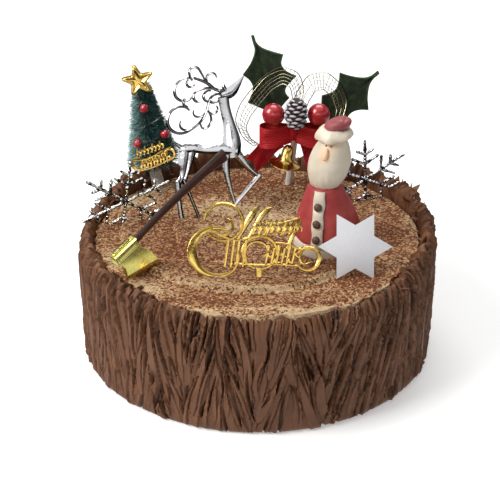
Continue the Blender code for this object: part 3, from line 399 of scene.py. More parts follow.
def chosen(name):
    """The piece that an operator has just made, named."""
    obj = bpy.context.active_object
    obj.name = obj.data.name = name
    return obj


def linked(name, data):
    """A piece that holds a mesh or curve made from data."""
    obj = bpy.data.objects.new(name, data)
    bpy.context.scene.collection.objects.link(obj)
    return obj


def mesh_piece(name, points, faces=(), edges=()):
    mesh = bpy.data.meshes.new(name)
    mesh.from_pydata(points, edges, faces)
    return linked(name, mesh)


def points_of(obj):
    """The piece's points as rows of x, y, z."""
    flat = np.empty(3 * len(obj.data.vertices))
    obj.data.vertices.foreach_get("co", flat)
    return flat.reshape(-1, 3)


def put_points(obj, points):
    obj.data.vertices.foreach_set("co", np.ascontiguousarray(points, float).ravel())
    obj.data.update()


def note_points(obj, name, values, kind="FLOAT"):
    """Keeps a value at each point for the piece's material."""
    made = obj.data.attributes.new(name, kind, "POINT")
    key = "vector" if kind == "FLOAT_VECTOR" else "value"
    made.data.foreach_set(key, np.ascontiguousarray(values, np.float32).ravel())


def edit(obj, *steps):
    """Runs edit mode steps on the whole of one piece."""
    pick_out(obj)
    bpy.ops.object.mode_set(mode="EDIT")
    bpy.ops.mesh.select_all(action="SELECT")
    for step in steps:
        step()
    bpy.ops.object.mode_set(mode="OBJECT")
    return obj


def close_seams(obj, distance=0.0005):
    """Merges doubles and turns every face outwards."""
    return edit(
        obj,
        lambda: bpy.ops.mesh.remove_doubles(threshold=distance),
        lambda: bpy.ops.mesh.normals_make_consistent(inside=False),
    )


def apply(obj, kind, **settings):
    """Adds one modifier and applies it."""
    pick_out(obj)
    made = obj.modifiers.new(kind.title(), kind)
    for key, value in settings.items():
        setattr(made, key, value)
    bpy.ops.object.modifier_apply(modifier=made.name)
    return obj


def together(name, pieces):
    """Joins pieces into one."""
    clear_choice()
    for obj in pieces:
        obj.select_set(True)
    bpy.context.view_layer.objects.active = pieces[0]
    if len(pieces) > 1:
        bpy.ops.object.join()
    return chosen(name)


def settle(obj, look, nodes=(), at=Matrix.Identity(4), sharp=35.0):
    """Gives a finished piece its place, its material and its smoothing, and hides the nodes that it stands for."""
    obj.data.transform(METRES @ at)
    obj.data.update()
    obj.data.materials.clear()
    obj.data.materials.append(LOOKS[look].material)
    pick_out(obj)
    bpy.ops.object.shade_smooth_by_angle(angle=math.radians(sharp))
    for smoothing in list(obj.modifiers):
        bpy.ops.object.modifier_apply(modifier=smoothing.name)
    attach(obj, "root")
    if nodes:
        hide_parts(*nodes)
    return obj


def refinish(node, look):
    """Gives a solid that stays a better material."""
    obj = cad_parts[node]
    obj.data.materials.clear()
    obj.data.materials.append(LOOKS[look].material)
    for place in obj.material_slots:
        place.material = LOOKS[look].material


def stand(at, height=SURFACE, turn=0.0, lean=0.0, roll=0.0):
    """The upright frame of one pick or figure: rolled, leaning back, then turned about Z."""
    return (
        Matrix.Translation(Vector((at[0], at[1], height)))
        @ Matrix.Rotation(math.radians(turn), 4, "Z")
        @ Matrix.Rotation(math.radians(-lean), 4, "X")
        @ Matrix.Rotation(math.radians(roll), 4, "Y")
    )


def lathe(name, profile, steps=48):
    """Spins a profile of (radius, height) pairs, from the bottom up, round Z. Ends off the axis are closed."""
    profile = list(profile)
    if profile[0][0] > 1e-6:
        profile.insert(0, (0.0, profile[0][1]))
    if profile[-1][0] > 1e-6:
        profile.append((0.0, profile[-1][1]))
    links = [(i, i + 1) for i in range(len(profile) - 1)]
    obj = mesh_piece(name, [(radius, 0.0, height) for radius, height in profile], edges=links)
    edit(obj, lambda: bpy.ops.mesh.spin(steps=steps, angle=2 * math.pi, center=(0, 0, 0), axis=(0, 0, 1)))
    return close_seams(obj)


def rounded(profile, times=2):
    """Cuts the corners of a profile between its ends, so that it bends softly."""
    for _ in range(times):
        soft = [profile[0]]
        for (r0, z0), (r1, z1) in zip(profile, profile[1:]):
            soft.append((0.75 * r0 + 0.25 * r1, 0.75 * z0 + 0.25 * z1))
            soft.append((0.25 * r0 + 0.75 * r1, 0.25 * z0 + 0.75 * z1))
        soft.append(profile[-1])
        profile = soft
    return profile


def ruffle(obj, amount, size, seed=0.0):
    """Pushes points in and out by smooth noise, as hand work leaves a surface."""
    points = points_of(obj)
    normals = np.array([v.normal for v in obj.data.vertices])
    shift = np.array([noise.noise(Vector(p) / size + Vector((seed, 3.1 * seed, -seed))) for p in points])
    put_points(obj, points + normals * (amount * shift)[:, None])
    return obj


def fluted(obj, swell):
    """Swells a turned piece sideways by swell(angle, height)."""
    points = points_of(obj)
    points[:, :2] *= swell(np.arctan2(points[:, 1], points[:, 0]), points[:, 2])[:, None]
    put_points(obj, points)
    return obj


def ball_mould(subdivisions, radius):
    """The points and faces of a small ball, for a shape that is repeated many times."""
    clear_choice()
    bpy.ops.mesh.primitive_ico_sphere_add(subdivisions=subdivisions, radius=radius)
    ball = chosen("ball")
    points = points_of(ball)
    faces = np.array([face.vertices[:] for face in ball.data.polygons])
    bpy.data.objects.remove(ball, do_unlink=True)
    return points, faces


# Sections of bars, as shares of the half width and the depth
LENS = (
    (1, 0), (0.72, 0.5), (0.12, 1), (-0.12, 1), (-0.72, 0.5), (-1, 0), (-0.72, -0.5), (-0.12, -1), (0.12, -1),
    (0.72, -0.5),
)
CHAMFERED = (
    (1, 0.45), (0.55, 0.95), (-0.55, 0.95), (-1, 0.45), (-1, -0.45), (-0.55, -0.95), (0.55, -0.95), (1, -0.45),
)
GRIP = ((1, 0.25), (0.55, 0.9), (-0.6, 0.9), (-1, 0.3), (-1, -0.3), (-0.6, -0.9), (0.55, -0.9), (1, -0.25))
ROUND = tuple((math.cos(a), math.sin(a)) for a in np.linspace(0, 2 * math.pi, 8, endpoint=False))


def bar(path, half_widths, depth, section, smooth=5):
    """A bar along a smooth path in the pick's upright plane: a curve swept with a drawn section."""
    widest = max(half_widths)
    outline = bpy.data.curves.new("section", "CURVE")
    outline.dimensions = "2D"
    spline = outline.splines.new("POLY")
    spline.points.add(len(section) - 1)
    for point, (x, y) in zip(spline.points, section):
        point.co = (x, y * depth / widest, 0.0, 1.0)
    spline.use_cyclic_u = True
    drawn = linked("section", outline)

    curve = bpy.data.curves.new("bar", "CURVE")
    curve.dimensions = "2D"
    curve.resolution_u = smooth
    curve.bevel_mode = "OBJECT"
    curve.bevel_object = drawn
    curve.use_fill_caps = True
    spline = curve.splines.new("BEZIER")
    spline.bezier_points.add(len(path) - 1)
    spline.radius_interpolation = "CARDINAL"
    widths = np.interp(np.linspace(0, 1, len(path)), np.linspace(0, 1, len(half_widths)), half_widths)
    for point, (x, z), half in zip(spline.bezier_points, path, widths):
        point.co = (x, z, 0.0)
        point.handle_left_type = point.handle_right_type = "AUTO"
        point.radius = half
    obj = linked("bar", curve)
    pick_out(obj)
    bpy.ops.object.convert(target="MESH")
    bpy.data.objects.remove(drawn, do_unlink=True)
    obj = bpy.context.active_object
    obj.data.transform(Matrix.Rotation(math.radians(90), 4, "X"))
    return obj


def strokes_piece(name, strokes, depth, section, smooth=5):
    """Bars joined into one piece, from strokes that are each a path and its half widths."""
    return together(name, [bar(path, half_widths, depth, section, smooth) for path, half_widths in strokes])


def wires(name, paths, radius):
    """Thin round wires along paths of (x, y, z), all in one piece."""
    curve = bpy.data.curves.new(name, "CURVE")
    curve.dimensions = "3D"
    curve.bevel_depth = radius
    curve.bevel_resolution = 0
    curve.use_fill_caps = True
    for path in paths:
        spline = curve.splines.new("POLY")
        spline.points.add(len(path) - 1)
        for point, spot in zip(spline.points, path):
            point.co = (*spot, 1.0)
    obj = linked(name, curve)
    pick_out(obj)
    bpy.ops.object.convert(target="MESH")
    return chosen(name)


def arc(centre, radius, start, end, steps, end_radius=None):
    last = radius if end_radius is None else end_radius
    return [
        (centre[0] + r * math.cos(math.radians(a)), centre[1] + r * math.sin(math.radians(a)))
        for a, r in zip(np.linspace(start, end, steps), np.linspace(radius, last, steps))
    ]


def grid_piece(name, columns, rows, place):
    """A grid whose points place(u, v) lays out, u and v from 0 to 1."""
    clear_choice()
    bpy.ops.mesh.primitive_grid_add(x_subdivisions=columns, y_subdivisions=rows, size=1.0)
    obj = chosen(name)
    flat = points_of(obj)
    put_points(obj, place(flat[:, 0] + 0.5, flat[:, 1] + 0.5))
    return obj


# The cake


def smooth_noise(angle, seed, waves):
    rng = np.random.default_rng(seed)
    total = np.zeros_like(angle)
    for count in waves:
        total += rng.uniform(0.5, 1.0) * np.sin(count * angle + rng.uniform(0, 2 * math.pi))
    return total / (0.75 * len(waves))


def half_turn(angle):
    """An angle brought between minus pi and pi."""
    return (angle + math.pi) % (2 * math.pi) - math.pi


def from_crest(angle, column):
    """A column of the CREST table at an angle."""
    table = np.array(CREST, float)
    return np.interp(np.degrees(half_turn(angle)), table[:, 0], table[:, column])


def lean_of(angle):
    """How far the comb's marks lean at an angle: V and A fans at the front, one long slant at the front right."""
    fans = 0.12 + 0.24 * math.exp(-(((angle - 4.66) / 0.46) ** 2)) + 0.07 * math.sin(5 * angle + 1.0)
    slant = 0.36 * math.exp(-(((angle - 5.36) / 0.20) ** 2))
    return fans * math.sin(17 * (angle - 4.33)) + slant


FACES = 560
# Cuts: number, angles, lengths, feet, how late they are drawn, spread of leans, halves, depths, spread of bows
CUTS = (
    (560, (0, 2 * math.pi), (8, 28), (-6, 52), 0.25, 0.09, (0.5, 1.15), (1.0, 2.5), 1.2),
    (260, (5.1, 6.7), (8, 24), (-4, 50), 0.45, 0.06, (0.35, 0.75), (0.9, 2.0), 0.8),
)


def bark_marks(seed=11):
    """The comb's marks in the order that they are drawn: broad smooth faces, and narrow cuts with a pointed foot."""
    rng = random.Random(seed)
    marks = []
    for number in range(FACES):
        angle, long = rng.uniform(0, 2 * math.pi), rng.uniform(22, 50)
        bottom = rng.uniform(-10, 62 - 0.7 * long)
        half = rng.uniform(1.5, 2.6) if number % 4 == 0 else rng.uniform(0.7, 1.5)
        marks.append((rng.random(), (
            "face", angle, lean_of(angle) + rng.gauss(0, 0.07), bottom, bottom + long, half,
            rng.uniform(0.3, 1.4), rng.uniform(-0.7, 0.7), rng.gauss(0, 1.6),
        )))
    for count, angles, lengths, feet, late, leans, halves, depths, bows in CUTS:
        for _ in range(count):
            angle, long = rng.uniform(*angles), rng.uniform(*lengths)
            bottom = rng.uniform(*feet)
            marks.append((rng.random() + late, (
                "cut", angle, lean_of(angle) + rng.gauss(0, leans), bottom, bottom + long, rng.uniform(*halves),
                rng.uniform(*depths), 0.0, rng.gauss(0, bows),
            )))
    return [mark for _, mark in sorted(marks)]


CREST_TIPS, CREST_TEETH = 74, 260


def crest_of(angle):
    """The height of the torn crest: its table, broad tips on it, and fine teeth on those."""
    height = from_crest(angle, 1)
    rugged = rugged_at(angle)
    rng = np.random.default_rng(5)
    tips = np.zeros_like(angle)
    for i in range(CREST_TIPS):
        at = 2 * math.pi * (i + rng.uniform(-0.4, 0.4)) / CREST_TIPS
        away = np.abs(half_turn(angle - at)) * BARK_RADIUS
        reach = rng.uniform(2.0, 4.6)
        tips = np.maximum(tips, rng.uniform(0.8, 4.6) * np.clip(1 - away / reach, 0, 1))
    fine = np.zeros_like(angle)
    for _ in range(CREST_TEETH):
        at = rng.uniform(0, 2 * math.pi)
        away = np.abs(half_turn(angle - at)) * BARK_RADIUS
        fine = np.maximum(fine, rng.uniform(0.3, 1.5) * np.clip(1 - away / rng.uniform(0.5, 1.3), 0, 1))
    return height + rugged * (tips - 1.2) + (0.35 + 0.65 * rugged) * (fine - 0.3)


def drawn_bark(angle, z, marks):
    """The marks drawn one over another: height, painted shade in the cuts, creases and gaps, painted highlight on the
    raised lips, and place across and along the mark.
    """
    step = 2 * math.pi / (angle.shape[1] - 1)
    columns = angle.shape[1] - 1
    # The second grid is painted shade, 0.35 in the gaps that no stroke covers; the third is painted highlight on raised
    # lips.
    height, dark, lip = np.full_like(z, 0.2), np.full_like(z, 0.35), np.zeros_like(z)
    across, along = angle * BARK_RADIUS, z.copy()
    for number, (kind, at, slope, bottom, top, half, rise, side, bow) in enumerate(marks):
        reach = (1.2 * half + abs(slope) * (top - bottom) / 2 + abs(bow) + 1.2) / BARK_RADIUS + step
        first = int((at - reach) / step)
        picked = np.arange(first, first + int(2 * reach / step) + 2) % columns
        a, h = angle[:, picked], z[:, picked]
        live = (h > bottom) & (h < top)
        share = np.clip((h - bottom) / (top - bottom), 0, 1)
        centre = slope * (h - (bottom + top) / 2) + bow * (1 - (2 * share - 1) ** 2)
        off = half_turn(a - at) * BARK_RADIUS - centre
        old, shade, edge = height[:, picked], dark[:, picked], lip[:, picked]
        if kind == "face":
            width = half * 1.15 * (1 - share ** 2.6) * np.minimum(1, share / 0.10) ** 0.5 + 1e-3
            u = off / width
            inside = live & (np.abs(u) < 1)
            level = rise + 0.40 * side * u + 0.25 * u * u + 0.6 * share ** 2 - 0.5 * (1 - share)
            level = level - 0.45 * np.clip((np.abs(u) - 0.8) / 0.2, 0, 1) ** 2
            crease = live & ~inside & (np.abs(off) < width + 0.45)
            height[:, picked] = np.where(inside, level, np.where(crease, np.minimum(old, rise - 0.8), old))
            # Painted shade in the crease beside each face; painted highlight near the face's raised edges.
            dark[:, picked] = np.where(inside, 0.0, np.where(crease, np.maximum(shade, 0.58), shade))
            lip[:, picked] = np.where(inside, np.clip(np.abs(u) - 0.72, 0, 1) * 3.2, np.where(crease, 0.0, edge))
            across[:, picked] = np.where(inside, off + 7.3 * number, across[:, picked])
            along[:, picked] = np.where(inside, h + 11.0 * number, along[:, picked])
        else:
            width = half * np.minimum(1, share / 0.4) ** 0.8 * (1 - share ** 5) ** 0.6 + 1e-3
            u = np.abs(off / width)
            inside = live & (u < 1)
            steep = np.minimum(1, share / 0.10) * (1 - share) ** 0.45
            rim = live & ~inside & (np.abs(off) < width + 0.55) & (share > 0.02)
            height[:, picked] = np.where(
                inside, old - rise * steep * (1 - u ** 2.4), np.where(rim, old + 0.32 * (1 - 0.6 * share), old))
            # Painted shade, deepest down the middle of each narrow groove; painted highlight on the raised rims beside
            # it.
            dark[:, picked] = np.where(inside, np.maximum(shade, np.minimum(1, 1.15 * steep * (1 - u ** 3))), shade)
            lip[:, picked] = np.where(inside, 0.0, np.where(rim, np.maximum(edge, 0.8 * (1 - 0.5 * share)), edge))
    for grid in (height, dark, lip, across, along):
        grid[:, -1] = grid[:, 0]
    return height, dark, lip, across, along


def rugged_at(angle):
    return from_crest(angle, 2)


def crumpled(x, y, z, size, seed):
    """Smooth noise with sharp folds, about -1 to 1."""
    flat = np.stack([x, y, z], -1).reshape(-1, 3) / size + seed
    folds = np.array([1 - 2.6 * abs(noise.noise(Vector(spot))) for spot in flat])
    return folds.reshape(np.shape(x))


BARK_COLUMNS, SIDE_ROWS = 1180, 74
INNER = ((-0.9, 0.5), (-2.0, -1.4), (-2.9, -3.4))   # the rim's inner face, as steps in from the crest and down


def bark():
    """The bark as one closed skin: base, combed side, torn crest, inner face and recess floor."""
    rows = 1 + SIDE_ROWS + len(INNER) + 2

    def lay(u, v):
        row = np.rint(v * rows).astype(int).reshape(rows + 1, BARK_COLUMNS + 1)
        angle = (u * 2 * math.pi).reshape(row.shape)
        crest = crest_of(angle)
        share = np.clip((row - 1) / SIDE_ROWS, 0, 1)
        z = share * crest
        height, dark, lip, across, along = drawn_bark(angle, z, bark_marks())
        round_in = np.clip(1 - (crest - z) / SHOULDER, 0, 1)
        foot = np.clip(1 - z / 2.5, 0, 1)
        wobble = 0.45 * smooth_noise(angle, 3, (2, 3, 5, 7))
        torn = np.zeros_like(z)
        top = slice(2 + int(0.74 * SIDE_ROWS), 2 + SIDE_ROWS)
        ring = angle[top] * BARK_RADIUS
        folds = crumpled(ring, z[top], 0 * ring, 4.2, 3.3) + 0.6 * crumpled(ring, z[top], 0 * ring, 1.9, 8.1)
        torn[top] = 2.2 * folds * round_in[top] ** 0.7 * np.clip(rugged_at(angle[top]) - 0.25, 0, 1)
        radius = BARK_RADIUS + wobble + height - 0.9 - 3.2 * round_in ** 2 - 1.0 * foot ** 2 + torn
        radius = np.minimum(radius, BARK_LIMIT - 0.6 + 0.4 * (radius - BARK_LIMIT + 0.6))
        radius = np.minimum(radius, BARK_LIMIT)
        rim = radius[1 + SIDE_ROWS]
        for number, (inwards, down) in enumerate(INNER):
            at = 2 + SIDE_ROWS + number
            lump = crumpled(angle[at] * BARK_RADIUS, np.full_like(rim, 9.0 * number), 0 * rim, 3.0, 5.7)
            radius[at] = rim + inwards * (1 + 0.9 * rugged_at(angle[at])) + 1.5 * lump * rugged_at(angle[at])
            z[at] = crest[at] + down * (0.5 if down > 0 else 1.0) + 0.9 * lump * rugged_at(angle[at])
        radius[1 + SIDE_ROWS + len(INNER)] = CREAM_RADIUS + 0.8
        z[1 + SIDE_ROWS + len(INNER)] = np.minimum(crest[0] - 3.0, SURFACE - 1.5)
        radius[rows - 1], z[rows - 1] = CREAM_RADIUS + 0.4, RECESS_FLOOR
        radius[rows], z[rows] = 0.0, RECESS_FLOOR
        radius[0], z[0] = 0.0, 0.0
        rest = (row < 1) | (row > 1 + SIDE_ROWS)
        # Painted highlight and painted shade for the material, set low on the rows off the combed side.
        lay.lip = np.where(rest, 0.1, lip)
        lay.cut = np.where(rest, 0.1, dark)
        lay.comb = np.stack([across, along * 0.10, radius * 0.0], 2)
        return np.stack([radius * np.cos(angle), radius * np.sin(angle), z], 2).reshape(-1, 3)

    obj = grid_piece("bark", BARK_COLUMNS, rows, lay)
    note_points(obj, "painted_highlight", lay.lip)
    note_points(obj, "cut", lay.cut)
    note_points(obj, "comb", lay.comb, "FLOAT_VECTOR")
    close_seams(obj)
    settle(obj, "chocolate_cream", ["bark_cream"], sharp=60)


def shards(count=330):
    """Torn flakes of cream on the crest: one tapered blade, bent and set by seeded draws where the crest is torn."""
    rng = np.random.default_rng(67)
    ring = np.array(LENS)
    levels = np.array((0.0, 0.3, 0.6, 0.85, 1.0))
    sides = len(ring)
    points, skins, combs = [], [], []
    made = 0
    while made < count:
        angle = rng.uniform(0, 2 * math.pi)
        rugged = float(rugged_at(np.array([angle]))[0])
        crowd = 0.5 + 0.9 * noise.noise(Vector((5.5 * angle, 2.0, 7.0)))
        if rng.uniform() > (rugged - 0.22) * 1.9 * max(0.0, crowd):
            continue
        crest = float(crest_of(np.array([angle]))[0])
        deep = rng.uniform(0, 1)
        out = np.array((math.cos(angle), math.sin(angle), 0.0))
        round_ = np.array((-math.sin(angle), math.cos(angle), 0.0))
        foot = out * (77.6 - 5.2 * deep) + (0, 0, crest - 1.6 - 1.8 * abs(deep - 0.4) - rng.uniform(0, 1.5))
        reach = out * (0.7 - 1.5 * deep + rng.normal(0, 0.4)) + round_ * rng.normal(0, 0.75)
        reach += (0, 0, rng.uniform(0.4, 1.1))
        reach /= np.linalg.norm(reach)
        wide = round_ + out * rng.normal(0, 0.6)
        wide -= reach * (wide @ reach)
        wide /= np.linalg.norm(wide)
        thick = np.cross(wide, reach)
        long, half = rng.uniform(1.4, 5.4) * (0.45 + 0.6 * rugged), rng.uniform(0.6, 2.0)
        bend = thick * rng.normal(0, 1.3) + wide * rng.normal(0, 1.0)
        for level in levels:
            size = (1 - level ** 1.6) * 0.98 + 0.02
            middle = foot + reach * long * level + bend * level ** 2
            points.append(middle + half * size * (np.outer(ring[:, 0], wide) + 0.26 * np.outer(ring[:, 1], thick)))
            comb = (ring[:, 0] * half + 5.1 * made, np.full(sides, level * long * 0.1), np.zeros(sides))
            combs.append(np.stack(comb, 1))
        base = made * sides * len(levels)
        for row in range(len(levels) - 1):
            for i in range(sides):
                j = (i + 1) % sides
                low, high = base + row * sides, base + (row + 1) * sides
                skins.append((low + i, low + j, high + j, high + i))
        skins.append(tuple(base + i for i in reversed(range(sides))))
        skins.append(tuple(base + (len(levels) - 1) * sides + i for i in range(sides)))
        made += 1
    points = np.concatenate(points)
    wide = np.hypot(points[:, 0], points[:, 1])
    points[:, :2] *= (np.minimum(wide, BARK_LIMIT) / wide)[:, None]
    obj = mesh_piece("torn_flakes", points.tolist(), skins)
    level = np.tile(np.repeat(levels, sides), count)
    # Painted highlight rising towards each flake's tip, and painted shade at its foot.
    note_points(obj, "painted_highlight", level * 0.7)
    note_points(obj, "cut", 0.45 * (1 - level) ** 2)
    note_points(obj, "comb", np.concatenate(combs), "FLOAT_VECTOR")
    edit(obj, lambda: bpy.ops.mesh.normals_make_consistent(inside=False))
    settle(obj, "chocolate_cream", sharp=50)


def spiral_share(x, y):
    """How far inwards a point lies from the spiral's line, 0 to 1 over one pitch."""
    turn = ((np.degrees(np.arctan2(y, x)) - SPIRAL_START) % 360.0) / 360.0
    line = SPIRAL_RADIUS - SPIRAL_PITCH * turn
    return ((line - np.hypot(x, y)) / SPIRAL_PITCH) % 1.0


def cream_height(x, y):
    radius = np.hypot(x, y)
    inward = spiral_share(x, y)
    step = np.where(inward < 0.92, np.clip(1 - inward / 0.92, 0, 1) ** 1.4, ((inward - 0.92) / 0.08) ** 2)
    centre = np.clip(radius / 8.0, 0, 1)
    uneven = 0.25 * np.sin(x / 9.0 + 0.6) * np.cos(y / 11.0) + 0.15 * np.sin(x / 4.3 - y / 5.1)
    edge = np.clip((radius - 68.5) / 5.5, 0, 1)
    return SURFACE - 0.8 + SPIRAL_STEP * step * centre + uneven - 0.9 * edge ** 2.5


# Where the cocoa lies thick or thin, as x, y, half length, half width, turn and amount
DUST = (
    (-8, 23, 22, 9, -8, -0.50), (6, 8, 18, 8, 10, -0.42), (-14, 2, 12, 7, 0, -0.30), (20, 26, 8, 6, 0, -0.28),
    (-58, 34, 10, 10, 40, -0.62), (-48, 47, 10, 8, 0, -0.50), (-45, -52, 9, 6, -35, -0.50), (-63, -29, 5, 9, 0, -0.40),
    (71, 8, 5, 12, 0, -0.35), (-22, -48, 12, 2.4, -14, -0.45), (4, -53, 16, 2.4, 0, -0.50),
    (30, -43, 10, 2.4, 32, -0.45),
    (5, -70, 24, 2.4, 0, -0.40), (-28, 44, 18, 8, 18, 0.35), (4, 54, 22, 7, 0, 0.35), (57, -2, 10, 14, 0, 0.35),
    (43, -44, 12, 8, 20, 0.35), (31, -29, 10, 7, 0, 0.35), (-44, 6, 9, 9, 0, 0.30), (-38, -18, 10, 12, -30, 0.30),
    (-23, -62, 14, 5, -10, 0.30), (22, -62, 16, 5, 12, 0.15), (66, 22, 6, 12, -20, 0.15), (-20, -30, 12, 8, 0, 0.10),
)


def cocoa_at(x, y):
    """How thick the cocoa lies, about 0 to 1."""
    dust = np.full_like(x, 0.60)
    for px, py, long, wide, turn, amount in DUST:
        c, s = math.cos(math.radians(turn)), math.sin(math.radians(turn))
        a, b = ((x - px) * c + (y - py) * s) / long, (-(x - px) * s + (y - py) * c) / wide
        dust += amount * np.exp(-(a * a + b * b))
    inward = spiral_share(x, y)
    bare = np.exp(-(((inward - 0.955) / 0.035) ** 2)) + 0.5 * np.exp(-((inward / 0.05) ** 2))
    dust -= 0.12 * bare
    dust += 0.25 * np.exp(-(((inward - 0.88) / 0.03) ** 2))
    edge = 73.2 + 1.2 * np.sin(np.arctan2(y, x) * 11) + 0.8 * np.sin(np.arctan2(y, x) * 29 + 2)
    dust -= 0.55 * np.clip((np.hypot(x, y) - edge) / 1.6, 0, 1)
    return np.clip(dust, 0.0, 1.0)


CREAM_COLUMNS, CREAM_ROWS = 480, 148


def cream_top():
    """The cream disc as one closed skin, with the spatula's spiral in it."""
    rows = CREAM_ROWS + 2

    def lay(u, v):
        row = np.rint(v * rows).astype(int)
        angle = u * 2 * math.pi
        radius = np.where(row < 2, CREAM_RADIUS, CREAM_RADIUS * (rows - row) / (rows - 2.0))
        radius = np.where(row == 0, 0.0, radius)
        low = np.clip((55.0 - from_crest(angle, 1)) / 2.0, 0, 1)
        spread = 3.0 * low + 0.5 * np.sin(23 * angle) + 0.35 * np.sin(41 * angle + 1) + 0.25 * np.sin(67 * angle)
        radius = radius + spread * (radius / CREAM_RADIUS) ** 12
        x, y = radius * np.cos(angle), radius * np.sin(angle)
        rough = np.array([noise.noise(Vector((a * 0.55, b * 0.55, 4.0))) for a, b in zip(x, y)])
        z = np.where(row < 2, RECESS_FLOOR + 0.3, cream_height(x, y) + 0.16 * rough)
        lay.cocoa = cocoa_at(x, y)
        return np.stack([x, y, z], 1)

    obj = grid_piece("cream_top", CREAM_COLUMNS, rows, lay)
    note_points(obj, "cocoa", lay.cocoa)
    close_seams(obj)
    return settle(obj, "coffee_cream", ["top_cream"], sharp=60)


def crumbs(count=4200):
    """Coarse cocoa on the cream: one grain shaped, then strewn by seeded draws where the dust is thick."""
    rng = np.random.default_rng(41)
    base, faces = ball_mould(1, 0.5)
    points, skins = [], []
    while len(points) < count:
        x, y = rng.uniform(-71, 71, 2)
        if math.hypot(x, y) > 71.5 or rng.uniform() > float(cocoa_at(np.array([x]), np.array([y]))[0]) ** 1.3:
            continue
        near_bell = math.exp(-(((x - 18) / 16) ** 2 + ((y - 46) / 9) ** 2))
        size = rng.uniform(0.35, 0.75) * (1 + 1.1 * near_bell * rng.uniform())
        turn = Euler(rng.uniform(0, 6.28, 3)).to_matrix()
        shape = (base * rng.uniform(0.6, 1.3, (len(base), 1)) * size * (1, 0.8, 0.6)) @ np.array(turn)
        z = float(cream_height(np.array([x]), np.array([y]))[0])
        skins.append(faces + len(points) * len(base))
        points.append(shape + (x, y, z + 0.12 * size))
    obj = mesh_piece("cocoa_grains", np.concatenate(points).tolist(), np.concatenate(skins).tolist())
    return settle(obj, "cocoa_crumb", sharp=20)


# Santa figure of coloured chocolate

HEM_RADIUS = 15.6
ROBE = ((14.9, 5.3), (14.4, 9.0), (12.6, 15.5), (10.2, 21.0), (8.7, 25.0), (7.4, 28.2))
HEAD_CENTRE, HEAD_WIDE, HEAD_TALL = 38.8, 9.0, 13.6
TRIM_LOW, TRIM_HIGH = 50.4, 54.8
PLACKET_TURN, FACE_TURN = -5.0, -8.0


def robe_radius(height):
    return float(np.interp(height, [z for _, z in ROBE], [r for r, _ in ROBE]))


def swayed(obj):
    """Leans a piece of the figure to its left as it rises, and back again above the robe."""
    points = points_of(obj)
    points[:, 0] += 0.15 * np.clip(points[:, 2] - 29, 0, None) - 2.2 * np.minimum(points[:, 2], 29) / 29
    put_points(obj, points)
    return obj


